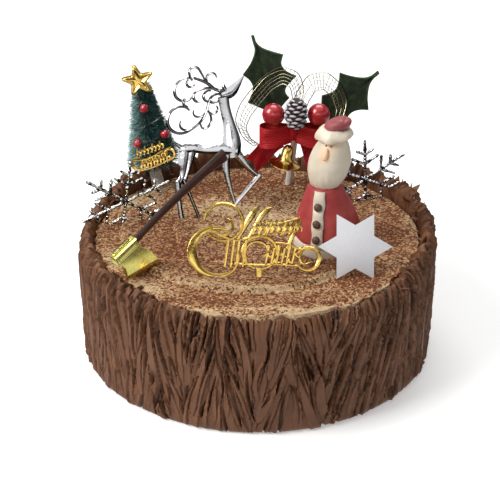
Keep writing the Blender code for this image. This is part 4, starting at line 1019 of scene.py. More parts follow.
def santa():
    at = stand(SANTA_AT, turn=-16.0)
    hem = lathe("hem", rounded([
        (HEM_RADIUS - 1.0, -1.5), (HEM_RADIUS - 0.1, -0.6), (HEM_RADIUS, 2.0), (HEM_RADIUS - 0.2, 4.2),
        (HEM_RADIUS - 1.6, 5.0), (HEM_RADIUS - 5.0, 5.0),
    ]), 64)
    settle(ruffle(hem, 0.5, 6.0, 1.0), "white_chocolate", ["santa_hem"], at)

    robe = lathe("robe", rounded([
        (14.2, 4.6), (14.95, 5.6), (14.6, 8.6), (12.8, 15.5), (10.4, 21.0), (8.7, 25.0), (7.6, 28.0), (5.6, 29.0),
    ]), 72)
    fluted(robe, lambda a, z: 1 + 0.018 * np.sin(5 * a + 0.6) * np.clip((24 - z) / 16, 0, 1))
    settle(swayed(ruffle(robe, 0.35, 5.0, 2.0)), "red_chocolate", ["santa_robe"], at)

    head = lathe("head", rounded([
        (HEAD_WIDE * math.cos(a) * (1.0 - 0.05 * math.sin(a)), HEAD_CENTRE + HEAD_TALL * math.sin(a))
        for a in np.linspace(-math.pi / 2 + 0.1, 1.0, 26)
    ], 1), 72)
    ruffle(head, 0.3, 6.0, 3.0)
    points = points_of(head)
    sideways = Matrix.Rotation(math.radians(FACE_TURN), 3, "Z")
    face, beside = np.array(sideways @ Vector((0, -1, 0))), np.array(sideways @ Vector((1, 0, 0)))
    ahead, aside = points @ face, points @ beside
    brow = np.exp(-((points[:, 2] - 48.0) / 1.6) ** 2 - (aside / 3.4) ** 2) * (ahead > 0)
    cheek = np.exp(-((points[:, 2] - 43.2) / 1.5) ** 2 - ((np.abs(aside) - 2.7) / 1.5) ** 2) * (ahead > 0)
    beard = 0.30 * np.sin(2.1 * aside + 0.4 * points[:, 2]) * np.clip((41 - points[:, 2]) / 6, 0, 1) * (ahead > 2)
    points += np.outer(0.25 * cheek + 0.5 * beard - 0.10 * brow, face)
    put_points(head, points)
    patch = np.exp(-(np.abs((points[:, 2] - 46.0) / 4.4) ** 4) - np.abs(aside / 2.9) ** 3.0) * (ahead > 0)
    note_points(head, "blush", 0.60 * patch)
    settle(swayed(head), "white_chocolate", ["santa_head"], at)

    turn = sideways.to_4x4()
    nose = lathe("nose", rounded([
        (0.3, -1.2), (1.1, -0.95), (1.42, 0.2), (1.25, 1.5), (0.85, 2.7), (0.45, 3.6), (0.1, 4.0),
    ]), 28)
    nose.data.transform(Matrix.Diagonal((1.0, 0.85, 1.0, 1.0)))
    lean = Matrix.Rotation(math.radians(-22), 4, "X")
    nose.data.transform(turn @ Matrix.Translation((0.0, -8.55, HEAD_CENTRE + 5.4)) @ lean)
    note_points(nose, "blush", np.full(len(nose.data.vertices), 0.85))
    settle(swayed(nose), "white_chocolate", ["santa_nose"], at)
    eyes = []
    for side in (-1.15, 1.15):
        eye = lathe("eye", rounded([(0.42, -0.4), (0.40, 0.06), (0.2, 0.16)]), 20)
        eye.data.transform(Matrix.Rotation(math.radians(68), 4, "X"))
        eye.data.transform(turn @ Matrix.Translation((side, -6.0, 48.7)))
        eyes.append(eye)
    settle(swayed(together("eyes", eyes)), "eye_brown", at=at)

    trim = lathe("hat_trim", rounded([
        (HEAD_WIDE - 3.2, TRIM_LOW - 0.3), (HEAD_WIDE - 1.5, TRIM_LOW + 0.4), (HEAD_WIDE - 1.1, TRIM_LOW + 2.0),
        (HEAD_WIDE - 1.9, TRIM_HIGH - 0.8), (HEAD_WIDE - 3.4, TRIM_HIGH + 0.3), (HEAD_WIDE - 5.0, TRIM_HIGH + 0.3),
    ]), 96)
    points = points_of(trim)
    around = np.arctan2(points[:, 1], points[:, 0])
    low = np.clip((TRIM_HIGH - points[:, 2]) / 4.0, 0, 1)
    points[:, 2] += low * (0.5 * np.sin(2 * around + 2.4) + 0.35 * np.sin(5 * around + 1.0) + 0.2 * np.sin(9 * around))
    lump = np.exp(-(half_turn(around + 2.75) / 0.34) ** 2)
    points[:, :2] *= (1 + 0.015 * np.sin(7 * around + 0.5) + 0.10 * lump)[:, None]
    points[:, 2] -= 0.9 * lump * low
    put_points(trim, points)
    settle(swayed(ruffle(trim, 0.35, 2.6, 4.0)), "white_chocolate", ["santa_hat_trim"], at)

    hat = lathe("hat", rounded([(0.0, 0.0), (5.2, 0.0), (5.4, 1.6), (4.9, 3.3), (3.2, 4.5), (0.0, 5.0)]), 56)
    points = points_of(hat)
    share = np.clip(points[:, 2] / 5.0, 0, 1)
    points[:, 0] += 2.2 * share ** 1.3
    crease = np.exp(-((points[:, 0] - 3.4) / 0.7) ** 2) * share
    points[:, 2] += TRIM_HIGH + 0.2 - 0.35 * crease
    put_points(hat, points)
    settle(swayed(ruffle(hat, 0.3, 4.0, 5.0)), "hat_chocolate", ["santa_hat"], at)

    front = math.radians(-90.0 + PLACKET_TURN)

    def lay(u, v):
        z = 4.8 + 23.2 * v
        radius = np.array([robe_radius(h) for h in z]) + 0.75 + 0.25 * np.sin(v * 23)
        side = (u - 0.5) * 5.0 * (1 + 0.08 * np.sin(v * 17 + 1.0))
        radius = radius - 0.5 * np.abs(2 * u - 1) ** 3
        return np.stack([
            radius * np.cos(front + side / radius), radius * np.sin(front + side / radius), z,
        ], 1)

    placket = grid_piece("placket", 10, 40, lay)
    apply(placket, "SOLIDIFY", thickness=1.1, offset=0.0)
    apply(placket, "SUBSURF", levels=1, render_levels=1)
    settle(swayed(close_seams(placket)), "white_chocolate", ["santa_placket"], at)
    slope = math.atan2(ROBE[0][0] - ROBE[-1][0], ROBE[-1][1] - ROBE[0][1])
    for number, z in enumerate((8.6, 15.3, 22.0)):
        profile = rounded([(1.6, 0.0), (1.85, 0.5), (1.6, 1.2), (0.9, 1.6), (0.0, 1.7)])
        button = lathe(f"button_{number + 1}", profile, 28)
        ruffle(button, 0.2, 1.5, number)
        button.data.transform(
            Matrix.Rotation(math.radians(PLACKET_TURN), 4, "Z")
            @ Matrix.Translation((0.0, -(robe_radius(z) + 1.25), z))
            @ Matrix.Rotation(math.pi / 2 - slope, 4, "X")
        )
        settle(swayed(button), "dark_chocolate", [f"santa_button_{number + 1}"], at)


# Bottle-brush tree

TREE_LOW, TREE_HIGH = 13.0, 51.0
TREE_WIDE, TREE_NARROW = 13.4, 4.6
BRISTLES, BRISTLE_HALF = 7800, 0.17
STAR_OUTER, STAR_INNER, STAR_COLUMNS = 9.0, 3.85, 120
BEAD_RADIUS = 2.1
BEADS = ((-86.0, 42.4), (-114.0, 26.6), (-44.0, 28.4))       # angle round the tree and height


def tree_radius(height):
    share = (height - TREE_LOW) / (TREE_HIGH - TREE_LOW)
    return TREE_WIDE + (TREE_NARROW - TREE_WIDE) * share


def puffed_star(at):
    """A moulded five-pointed star with a thick rounded rim and a sunken middle."""
    turns = np.linspace(0, 2 * math.pi, STAR_COLUMNS + 1)
    outer, inner = STAR_OUTER, STAR_INNER
    wedge = math.pi / 5
    part = np.abs((turns - math.pi / 2 + wedge) % (2 * wedge) - wedge) / wedge
    reach = outer * inner * math.sin(wedge) / (
        outer * np.sin(part * wedge) + inner * np.sin(wedge - part * wedge))
    reach = np.convolve(np.concatenate([reach[-3:-1], reach, reach[1:3]]), np.ones(5) / 5, "valid")
    shares = np.array((0.0, 0.22, 0.40, 0.55, 0.68, 0.80, 0.90, 0.97, 1.0))
    swell = np.array((0.7, 0.7, 0.75, 0.9, 1.25, 1.4, 1.2, 0.7, 0.0))
    rows = 2 * len(shares) - 2

    def lay(u, v):
        row = np.rint(v * rows).astype(int)
        share = shares[np.minimum(row, rows - row)]
        high = np.interp(share, shares, swell) * np.where(row < len(shares), -1, 1)
        column = np.rint(u * STAR_COLUMNS).astype(int)
        return np.stack([
            reach[column] * share * np.cos(turns[column]), high, reach[column] * share * np.sin(turns[column]),
        ], 1)

    star = close_seams(grid_piece("puffed_star", STAR_COLUMNS, rows, lay))
    turn = Euler((0.0, math.radians(-7.0), math.radians(-6.0))).to_matrix().to_4x4()
    spot = Matrix.Translation((0.0, -TREE_NARROW - 2.6, 55.9)) @ turn
    settle(ruffle(star, 0.08, 1.5, 2.0), "gold", ["tree_star"], at @ spot, 60)


def tree():
    at = stand(TREE_AT) @ Matrix.Rotation(math.radians(-7.0), 4, "Y")
    rng = np.random.default_rng(21)
    count = BRISTLES
    height = TREE_LOW + (TREE_HIGH - TREE_LOW) * rng.uniform(0, 1, count) ** 1.12
    around = rng.uniform(0, 2 * math.pi, count)
    long = tree_radius(height) * rng.uniform(0.80, 1.04, count)
    droop = rng.normal(-0.03, 0.10, count)
    along = np.stack([np.cos(around) * np.cos(droop), np.sin(around) * np.cos(droop), np.sin(droop)], 1)
    across = np.stack([-np.sin(around), np.cos(around), np.zeros(count)], 1)
    up = np.cross(along, across)
    foot = np.stack([np.zeros(count), np.zeros(count), height], 1) + along * 1.0
    bend = rng.normal(0, 0.6, (count, 1)) * across + rng.normal(0, 0.5, (count, 1)) * up
    points, frost, tone_and_shade = [], [], []
    tone = rng.uniform(0, 1, count)
    # Frost is partly real, whitening the bristle tips, and partly painted highlight: more of it on the left, the side
    # the key light falls on.
    left = np.clip(-np.cos(around) * 0.9 - np.sin(around) * 0.15, 0, 1)
    frost_and_lit_side = np.clip(rng.uniform(-0.55, 0.55, count) + 0.70 * left, 0, 1)
    for share, wide in ((0.0, 1.0), (0.6, 0.9), (1.0, 0.35)):
        middle = foot + along * ((long - 1.0) * share)[:, None] + bend * share ** 2
        for corner in range(3):
            turn = 2 * math.pi * corner / 3
            points.append(middle + BRISTLE_HALF * wide * (math.cos(turn) * across + math.sin(turn) * up))
            frost.append(frost_and_lit_side * max(0.0, share - 0.35) * 1.5)
            # Painted shade: each bristle is darker towards its root, inside the brush.
            tone_and_shade.append(tone * (0.25 + 0.75 * share))
    points = np.stack(points, 1).reshape(-1, 3)
    frost, tone_and_shade = np.stack(frost, 1).ravel(), np.stack(tone_and_shade, 1).ravel()
    skins = []
    for ring in (0, 3):
        for i in range(3):
            j = (i + 1) % 3
            skins.append((ring + i, ring + j, ring + 3 + j, ring + 3 + i))
    faces = [tuple(9 * k + i for i in skin) for k in range(count) for skin in skins]
    faces += [(9 * k + 6, 9 * k + 7, 9 * k + 8) for k in range(count)]
    faces += [(9 * k + 2, 9 * k + 1, 9 * k) for k in range(count)]
    obj = mesh_piece("bristles", points.tolist(), faces)
    note_points(obj, "frost", frost)
    note_points(obj, "tone_and_shade", tone_and_shade)
    settle(obj, "pine_bristle", ["tree_foliage"], at, 70)

    # A near black cone inside the bristles: painted shade filling the gaps among them.
    core = lathe("brush_shade_core", rounded([(TREE_WIDE * 0.55, TREE_LOW + 0.5), (TREE_NARROW * 0.6, TREE_HIGH - 0.5)]), 24)
    for pattern in ("tone_and_shade", "frost"):
        note_points(core, pattern, np.zeros(len(core.data.vertices)))
    settle(core, "pine_bristle", at=at)

    trunk = lathe("trunk", rounded([(2.5, -4.0), (2.9, 0.0), (2.75, 6.0), (2.6, 10.0), (2.7, 12.6)]), 40)
    fluted(trunk, lambda a, z: 1 + 0.05 * np.sin(9 * a + z * 0.5))
    settle(ruffle(trunk, 0.35, 1.6, 7.0), "silver_foil", ["tree_trunk"], at)

    threads = []
    for start, low, high, turns in ((200, 15.0, 47.0, 3.2), (60, 17.0, 45.0, 2.6)):
        path = []
        for t in np.linspace(0, 1, 160):
            z = low + (high - low) * t
            a = math.radians(start + 360 * turns * t)
            r = tree_radius(z) * 1.01 + 0.5 * math.sin(23 * t)
            path.append((r * math.cos(a), r * math.sin(a), z + 0.4 * math.sin(41 * t)))
        threads.append(path)
    settle(wires("garland", threads, 0.07), "thread", at=at)

    for number, (around, height) in enumerate(BEADS):
        out = tree_radius(height) * 1.03 + 1.2
        a = math.radians(around)
        spot = (out * math.cos(a), out * math.sin(a), height)
        clear_choice()
        bpy.ops.mesh.primitive_ico_sphere_add(subdivisions=3, radius=BEAD_RADIUS)
        berry = ruffle(chosen(f"tree_bead_{number + 1}"), 0.35, 1.6, number + 9.0)
        settle(berry, "red_gloss", [f"tree_berry_{number + 1}"], at @ Matrix.Translation(spot))
    puffed_star(at)
    hooks = [
        [(0.0, 0.0, TREE_HIGH - 4.0), (0.0, -1.5, TREE_HIGH + 1.5), (0.0, -TREE_NARROW - 2.2, 54.8)],
        [(2.0, -4.0, 19.0), (2.0, -TREE_WIDE, 19.2), (2.0, -TREE_WIDE - 2.5, 19.4)],
    ]
    settle(wires("hook_wires", hooks, 0.4), "green_wire", at=at)

    tag = [
        (arc((-6.4, 0.6), 2.9, 60, 330, 9, 2.4), (0.3, 0.7, 0.35)),
        ([(-9.5, -1.6), (-3.0, -2.6), (4.0, -2.0), (9.8, -0.6)], (0.35, 0.4, 0.35)),
        ([(-8.0, 2.8), (-2.5, 1.6), (3.5, 2.6), (9.2, 3.4)], (0.3, 0.4, 0.3)),
        (arc((7.2, 0.6), 2.4, -110, 170, 8, 2.0), (0.3, 0.6, 0.3)),
    ]
    for number, x in enumerate(np.arange(-5.6, 7.4, 1.45)):
        tall = (3.4, 1.6, 2.4)[number % 3]
        tag.append(([(x - 0.7, -2.6), (x, 0.0), (x + 0.8, tall)], (0.25, 0.5, 0.25)))
        if number % 2:
            tag.append((arc((x + 0.3, 1.0), 0.9, -60, 250, 5), (0.2, 0.4, 0.2)))
        else:
            tag.append((arc((x + 0.2, -1.2), 0.9, -100, 210, 5), (0.2, 0.4, 0.2)))
    for number, x in enumerate(np.arange(-5.4, 6.4, 1.7)):
        tall = 7.4 - 1.4 * (number % 2)
        tag.append(([(x - 0.8, 3.6), (x, 5.4), (x + 0.7, tall)], (0.25, 0.5, 0.25)))
        tag.append((arc((x + 0.5, 4.8), 0.9, -100, 200, 5), (0.2, 0.4, 0.2)))
    spot = (
        Matrix.Translation((2.1, -TREE_WIDE - 2.6, 19.2))
        @ Euler((math.radians(-8.0), math.radians(-13.0), 0.0)).to_matrix().to_4x4()
    )
    settle(strokes_piece("tag_scroll", tag, 0.5, CHAMFERED), "gold", ["tree_scroll"], at @ spot @ Matrix.Scale(1.1, 4))


# Reindeer pick


def reindeer():
    at = stand(REINDEER_AT, turn=18.0)
    depth = 1.4
    back = [(-15.6, 34.6), (-11.0, 35.0), (-3.0, 33.0), (5.0, 32.5), (11.0, 31.0)]
    neck = [(9.4, 28.4), (9.0, 35.0), (8.0, 43.0), (6.2, 51.0), (5.2, 57.4)]
    limbs = [
        (back, (1.5, 2.6, 1.9, 3.2, 3.0), 2.2),
        (neck, (3.9, 4.3, 2.9, 2.4, 2.6), 2.2),
        ([(4.4, 58.2), (8.2, 59.0), (11.6, 62.2), (14.6, 66.0)], (1.9, 2.8, 1.8, 0.5), 1.6),
        ([(6.6, 59.6), (5.4, 62.2), (5.0, 64.2)], (0.9, 0.9, 0.3), 0.9),
        ([(-13.0, 36.0), (-13.7, 28.0), (-14.1, 22.2), (-16.5, 17.8)], (3.0, 2.4, 1.4, 1.5), depth),
        ([(-16.6, 19.4), (-16.2, 10.4), (-14.8, -3.0)], (1.5, 1.15, 1.3), 1.2),
        ([(-9.5, 34.5), (-11.2, 26.0), (-13.5, 19.0)], (2.4, 1.4, 1.1), 1.2),
        ([(-14.0, 20.2), (-10.2, 9.5), (-6.0, -3.0)], (1.1, 0.8, 0.8), 1.0),
        ([(6.0, 30.5), (6.6, 20.0), (8.0, 13.0), (10.4, 4.0)], (2.2, 1.5, 1.1, 0.9), 1.2),
        ([(11.0, 29.4), (16.5, 22.2), (22.2, 16.4)], (2.4, 1.5, 1.2), 1.2),
        ([(22.6, 17.4), (10.0, 3.4)], (1.25, 0.9), 1.1),
        ([(-14.5, 35.6), (-18.4, 39.2)], (1.1, 0.4), 0.9),
    ]
    pieces = [bar(path, widths, deep, LENS, 8) for path, widths, deep in limbs]
    thin = (0.4, 0.72, 0.45)
    top_loop = [(-2.6, 64.8), (-4.6, 69.4), (-7.0, 72.4), (-9.6, 71.8), (-9.8, 68.6), (-8.8, 66.6)]
    eye_loop = [(5.4, 57.6), (2.6, 58.9), (-0.6, 57.4), (-0.8, 55.8), (2.2, 55.4), (5.2, 57.2)]
    low_loop = [(-2.6, 52.6), (-0.6, 49.0), (-1.2, 44.8), (-4.0, 43.4), (-5.8, 46.8)]
    scrolls = [
        ([(5.6, 60.2), (2.0, 61.0), (-2.2, 64.6), (-8.0, 67.6)], (0.7, 0.8, 0.6)),
        (arc((-11.6, 61.8), 6.4, 62, 318, 9, 4.0), thin),
        (top_loop, (0.4, 0.65, 0.5)),
        (arc((0.2, 66.6), 2.7, 215, 0, 6, 2.0), (0.5, 0.6, 0.3)),
        (arc((-9.2, 65.4), 2.2, 130, 330, 5, 1.8), (0.5, 0.6, 0.3)),
        ([(4.8, 59.0), (2.0, 61.2), (-2.4, 62.2), (-6.0, 61.6)], (0.6, 0.7, 0.5)),
        (arc((-5.6, 58.6), 3.1, 92, 275, 6, 2.4), thin),
        (arc((-1.2, 58.4), 2.6, 70, 290, 7), (0.4, 0.65, 0.5)),
        (eye_loop, (0.55, 0.65, 0.55)),
        ([(-1.2, 56.2), (-3.0, 50.6), (-5.4, 46.8), (-9.8, 43.5)], (0.6, 0.7, 0.6)),
        (arc((-14.2, 49.4), 7.3, -54, -318, 12, 5.2), (0.6, 0.85, 0.45)),
        (arc((-11.8, 47.0), 3.6, -50, -205, 5, 3.0), (0.4, 0.6, 0.3)),
        (low_loop, (0.5, 0.6, 0.4)),
        (arc((0.6, 52.2), 2.5, 200, 400, 6, 1.9), (0.5, 0.6, 0.3)),
        ([(-11.2, 54.2), (-13.0, 56.2), (-12.4, 58.4)], (0.6, 0.6)),
        (arc((-6.6, 52.2), 3.9, -15, -190, 7, 1.8), (0.4, 0.5, 0.3)),
    ]
    settle(together("stag", pieces), "chrome", ["reindeer"], at, 28)
    # The antler scrolls take the darker copy of the chrome, a painted dark reflection.
    settle(strokes_piece("stag_antlers", scrolls, 0.8, LENS), "scroll_chrome_dark_reflection", at=at, sharp=28)


# Toy axe

AXE_RISE = 24.0


def axe():
    at = stand(AXE_AT, turn=45.0)
    rise = math.radians(AXE_RISE)
    along = (math.cos(rise), math.sin(rise))
    eye = (-0.4, 12.6)

    def spot(forward, up):
        return (eye[0] + forward * along[0] - up * along[1], eye[1] + forward * along[1] + up * along[0])

    handle = bar([spot(6.4, 0.0), spot(20.0, 0.9), spot(40.0, 1.2), spot(56.0, 0.5), spot(63.0, 0.0)],
                 (1.75, 1.85, 2.2, 2.7, 3.2), 1.8, GRIP)
    settle(together("axe_grip", [handle]), "dark_handle", ["axe_handle"], at, 25)

    def slab(name, rings):
        """A loft of flat rings, each as two ends and a half thickness."""
        points = [(x, y, z) for low, high, half in rings for (x, z), y in
                  ((low, -half), (high, -half), (high, half), (low, half))]
        faces = [(0, 1, 2, 3), tuple(len(points) - 4 + i for i in (3, 2, 1, 0))]
        for row in range(0, len(points) - 4, 4):
            faces += [(row + i, row + 4 + i, row + 4 + (i + 1) % 4, row + (i + 1) % 4) for i in range(4)]
        obj = mesh_piece(name, points, faces)
        edit(obj, lambda: bpy.ops.mesh.normals_make_consistent(inside=False))
        return apply(obj, "BEVEL", width=0.28, segments=3, limit_method="ANGLE")

    block = slab("axe_block", [(spot(-6.4, 2.5), spot(6.4, 2.5), 1.5), (spot(-6.4, 1.9), spot(6.4, 1.9), 2.0),
                               (spot(-6.4, -2.0), spot(6.4, -2.0), 2.0), (spot(-6.2, -2.5), spot(6.2, -2.5), 1.5)])
    poll = slab("axe_poll", [(spot(-5.6, 3.4), spot(4.4, 3.4), 0.9), (spot(-5.9, 2.2), spot(4.7, 2.2), 1.1)])
    blade_piece = slab("axe_blade", [(spot(-5.9, -1.9), spot(5.9, -1.9), 1.5), ((-1.4, 4.9), (12.6, 8.2), 1.15),
                                     ((-0.2, 0.6), (17.0, 2.6), 0.85)])
    settle(together("axe_blade_and_block", [block, poll, blade_piece]), "bright_gold", ["axe_head"], at, 30)
    edge = slab("axe_edge", [((-0.3, 1.1), (16.6, 3.0), 0.84), ((0.1, -1.2), (18.9, 0.2), 0.62),
                             ((0.6, -3.0), (20.3, -2.2), 0.2)])
    settle(edge, "amber_gold", at=at, sharp=30)

    def line(ends, y):
        return [(x, y, z) for x, z in (spot(*end) for end in ends)]

    # The black wires lie on the head's engraved frame lines and on the slots in its top: painted shade where those
    # grooves are.
    frame_line = line([(-6.2, 1.7), (6.2, 1.7), (6.2, -1.8), (-6.2, -1.8), (-6.2, 1.7)], -2.0)
    inner_line = line([(-5.2, 0.9), (5.4, 0.9), (5.4, -1.1), (-5.2, -1.1), (-5.2, 0.9)], -2.0)
    slots = [line([(-4.9, 3.42), (3.8, 3.42)], y) for y in (-0.75, 0.75)]
    for x in np.linspace(-4.9, 3.8, 4):
        a = spot(x, 3.42)
        slots.append([(a[0], -0.75, a[1]), (a[0], 0.75, a[1])])
    lines = [frame_line, inner_line, *slots]
    settle(wires("axe_lines", lines, 0.17), "groove_shade_black", at=at)


# Holly pick

LEAVES = {
    "left": (
        ((0.0, 1.0), (0.22, 11.2), (0.58, 9.6), (1.0, 0.3)),
        ((0.0, 1.0), (0.14, 8.4), (0.39, 14.6), (0.68, 11.4), (1.0, 0.3)),
    ),
    "right": (
        ((0.0, 1.0), (0.22, 9.0), (0.61, 12.4), (1.0, 0.3)),
        ((0.0, 1.0), (0.20, 9.4), (0.56, 11.4), (1.0, 0.3)),
    ),
}


def leaf_width(spines, share):
    for (t0, w0), (t1, w1) in zip(spines, spines[1:]):
        if share <= t1:
            part = (share - t0) / (t1 - t0)
            dip = 3.6 * math.sin(math.pi * part) * min(1.0, 4.0 * (t1 - t0)) if t0 > 0 else 0.0
            return max(0.4, w0 + (w1 - w0) * part - dip)
    return spines[-1][1]


def holly_leaf(side, foot, tip, depth, curl, at):
    left, right = LEAVES[side]
    reach = Vector((tip[0] - foot[0], 0.0, tip[1] - foot[1]))
    along = reach.normalized()
    across = Vector((along.z, 0.0, -along.x))
    shares = sorted({t for t, _ in left + right} | set(np.linspace(0, 1, 61).round(4)))

    def lay(u, v):
        row = np.rint(v * (len(shares) - 1)).astype(int)
        share = np.array(shares)[row]
        k = 2 * u - 1
        wide = np.array([leaf_width(left if a < 0 else right, s) for a, s in zip(k, share)])
        bow = curl * (share - 0.5) ** 2 * 6 - 0.9 * np.abs(k) + 0.5 * np.sin(9 * share + 2 * k)
        vein = 0.35 * np.exp(-((k * wide) / 0.8) ** 2) + 0.12 * np.sin(26 * (share - 0.25 * np.abs(k)))
        lay.edge = np.abs(k)
        return (
            np.array([foot[0], depth, foot[1]]) + np.outer(share, reach) + np.outer(wide * k, across)
            + np.outer(bow + vein, (0, 1, 0))
        )

    leaf = grid_piece("leaf_" + side, 24, len(shares) - 1, lay)
    note_points(leaf, "edge", lay.edge)
    apply(leaf, "SOLIDIFY", thickness=0.8, offset=0.0)
    settle(close_seams(leaf), "holly_felt", ["holly_leaf_" + side], at, 50)


GOLDEN_TURN = 2.39996        # the turn from one cone scale to the next, in radians


def pine_cone(at):
    """Scales one by one round a core, in the spiral of a real cone."""
    base, faces = ball_mould(2, 1.0)
    base = base * (1.15, 1.0, 1.0)
    base[:, 2] *= np.where(base[:, 2] > 0, 0.55, 0.3)
    tall, wide, count = 7.2, 4.7, 56
    made, skins, frost = [], [], []
    for i in range(count):
        level = -0.95 + 1.9 * (i + 0.5) / count
        angle = i * GOLDEN_TURN
        r = wide * math.sqrt(1 - level ** 2) * 0.86
        size = 1.78 * (0.62 + 0.5 * math.sqrt(1 - level ** 2))
        tilt = Matrix.Rotation(math.radians(26 + 22 * level), 3, "X")
        turn = Matrix.Rotation(angle - math.pi / 2, 3, "Z")
        shape = base * size @ np.array((turn @ tilt).transposed())
        made.append(shape + (r * math.cos(angle), r * math.sin(angle), tall * level))
        skins.append(faces + i * len(base))
        frost.append(np.clip(base[:, 1] * 0.9 + 0.2 + 0.2 * base[:, 2], 0, 1))
    obj = mesh_piece("cone_scales", np.concatenate(made).tolist(), np.concatenate(skins).tolist())
    note_points(obj, "frost", np.concatenate(frost))
    profile = [(wide * 0.8 * math.cos(a), tall * 0.9 * math.sin(a)) for a in np.linspace(-1.5, 1.5, 9)]
    core = lathe("cone_core", profile, 20)
    note_points(core, "frost", np.zeros(len(core.data.vertices)))
    spot = at @ Matrix.Translation((0.6, -8.0, 39.6))
    settle(together("frosted_cone", [obj, core]), "pine_cone", ["pine_cone"], spot, 60)


KNOT_AT = Vector((-0.4, -5.0, 29.0))
TAIL_HALF, RIBBON_THICK = 4.6, 0.45
TAILS = (("left", (-7.0, 2.8, 22.4), (-20.4, -8.6, 13.6)), ("right", (7.6, 2.6, 21.6), (11.4, -6.4, 8.6)))


def bow(at):
    knot = lathe("knot", rounded([(1.4, -3.3), (2.2, -2.4), (2.4, 0.0), (2.2, 2.4), (1.4, 3.3)]), 32)
    points = points_of(fluted(knot, lambda a, z: 1 + 0.05 * np.sin(11 * a)))
    around = np.arctan2(points[:, 1], points[:, 0])
    note_points(knot, "band", np.stack([around * 2.6, points[:, 2], 0 * around], 1), "FLOAT_VECTOR")
    settle(knot, "red_ribbon", ["bow_knot"], at @ Matrix.Translation(KNOT_AT))
    for name, side, reach in (("left", -1.0, 12.4), ("right", 1.0, 11.4)):
        def lay(u, v):
            k = 2 * u - 1
            x = KNOT_AT.x + side * (0.9 + (reach + 2.5) * np.sin(math.pi * v))
            y = KNOT_AT.y - 0.9 * np.cos(math.pi * v) - 3.6 * np.sin(2 * math.pi * v) + 0.25 * k
            y = y + 0.35 * np.sin(9 * v + 3 * k)
            flare = 4.2 + 1.0 * np.sin(math.pi * v)
            z = KNOT_AT.z - 1.6 * np.sin(math.pi * v) + k * flare
            lay.band = np.stack([k * flare, v * 30, 0 * v], 1)
            return np.stack([x, y, z], 1)

        loop = grid_piece("loop_" + name, 20, 60, lay)
        note_points(loop, "band", lay.band, "FLOAT_VECTOR")
        apply(loop, "SOLIDIFY", thickness=RIBBON_THICK, offset=0.0)
        settle(close_seams(loop), "red_ribbon", ["bow_loop_" + name], at, 50)
    for name, start, end in TAILS:
        start, end = Vector(start), Vector(end)
        reach = end - start
        across = Vector((reach.z, 0.0, -reach.x)).normalized() * TAIL_HALF

        def lay(u, v):
            k = 2 * u - 1
            wave = 1.1 * np.sin(2.2 * math.pi * v) + 0.25 * np.sin(5 * k + 7 * v)
            notch = 2.4 * (1 - np.abs(k)) * np.clip((v - 0.8) / 0.2, 0, 1)
            lay.band = np.stack([k * TAIL_HALF, v * 20, 0 * v], 1)
            return (
                np.array(start) + np.outer(v, reach) + np.outer(wave + reach.y * (v ** 1.9 - v), (0, 1, 0))
                + np.outer(k, across) - np.outer(notch, reach.normalized())
            )

        tail = grid_piece("tail_" + name, 20, 40, lay)
        note_points(tail, "band", lay.band, "FLOAT_VECTOR")
        apply(tail, "SOLIDIFY", thickness=RIBBON_THICK, offset=0.0)
        settle(close_seams(tail), "red_ribbon", ["bow_tail_" + name], at, 50)


# The bell's profiles, from its top down and from its mouth up, as radius and height
BELL_OUTER = [
    (0.0, 10.75), (1.3, 10.4), (2.3, 9.2), (2.7, 7.0), (2.8, 4.6), (3.2, 2.9), (4.3, 1.9), (5.8, 1.4), (7.2, 1.1),
]
BELL_INNER = [(7.2, 0.7), (5.6, 0.9), (4.0, 1.4), (2.8, 2.6), (2.3, 4.6), (2.0, 7.2), (1.0, 9.0), (0.0, 9.2)]


def bell(at):
    obj = lathe("gold_bell", list(reversed(rounded(BELL_OUTER) + rounded(BELL_INNER))), 56)
    spot = Matrix.Translation((-4.5, -11.4, 15.1)) @ Matrix.Rotation(math.radians(10.0), 4, "Y")
    settle(obj, "gold", ["bell"], at @ spot, 45)


NETS = (
    ("net_left", (
        (-1.2, 36.0), (1.2, 45.0), (-0.6, 51.4), (-5.6, 54.0), (-12.0, 50.6), (-17.6, 44.0), (-22.2, 37.0),
        (-24.4, 30.4), (-22.0, 23.6), (-17.0, 19.4),
    )),
    ("net_right", (
        (2.2, 36.0), (4.6, 44.4), (8.4, 50.2), (14.0, 51.0), (19.6, 46.4), (22.0, 39.4), (19.8, 32.0), (13.6, 26.8),
    )),
)
NET_STRANDS, NET_STEPS = 6, 90
NET_DEPTH, NET_FRONT = 9.2, -1.4


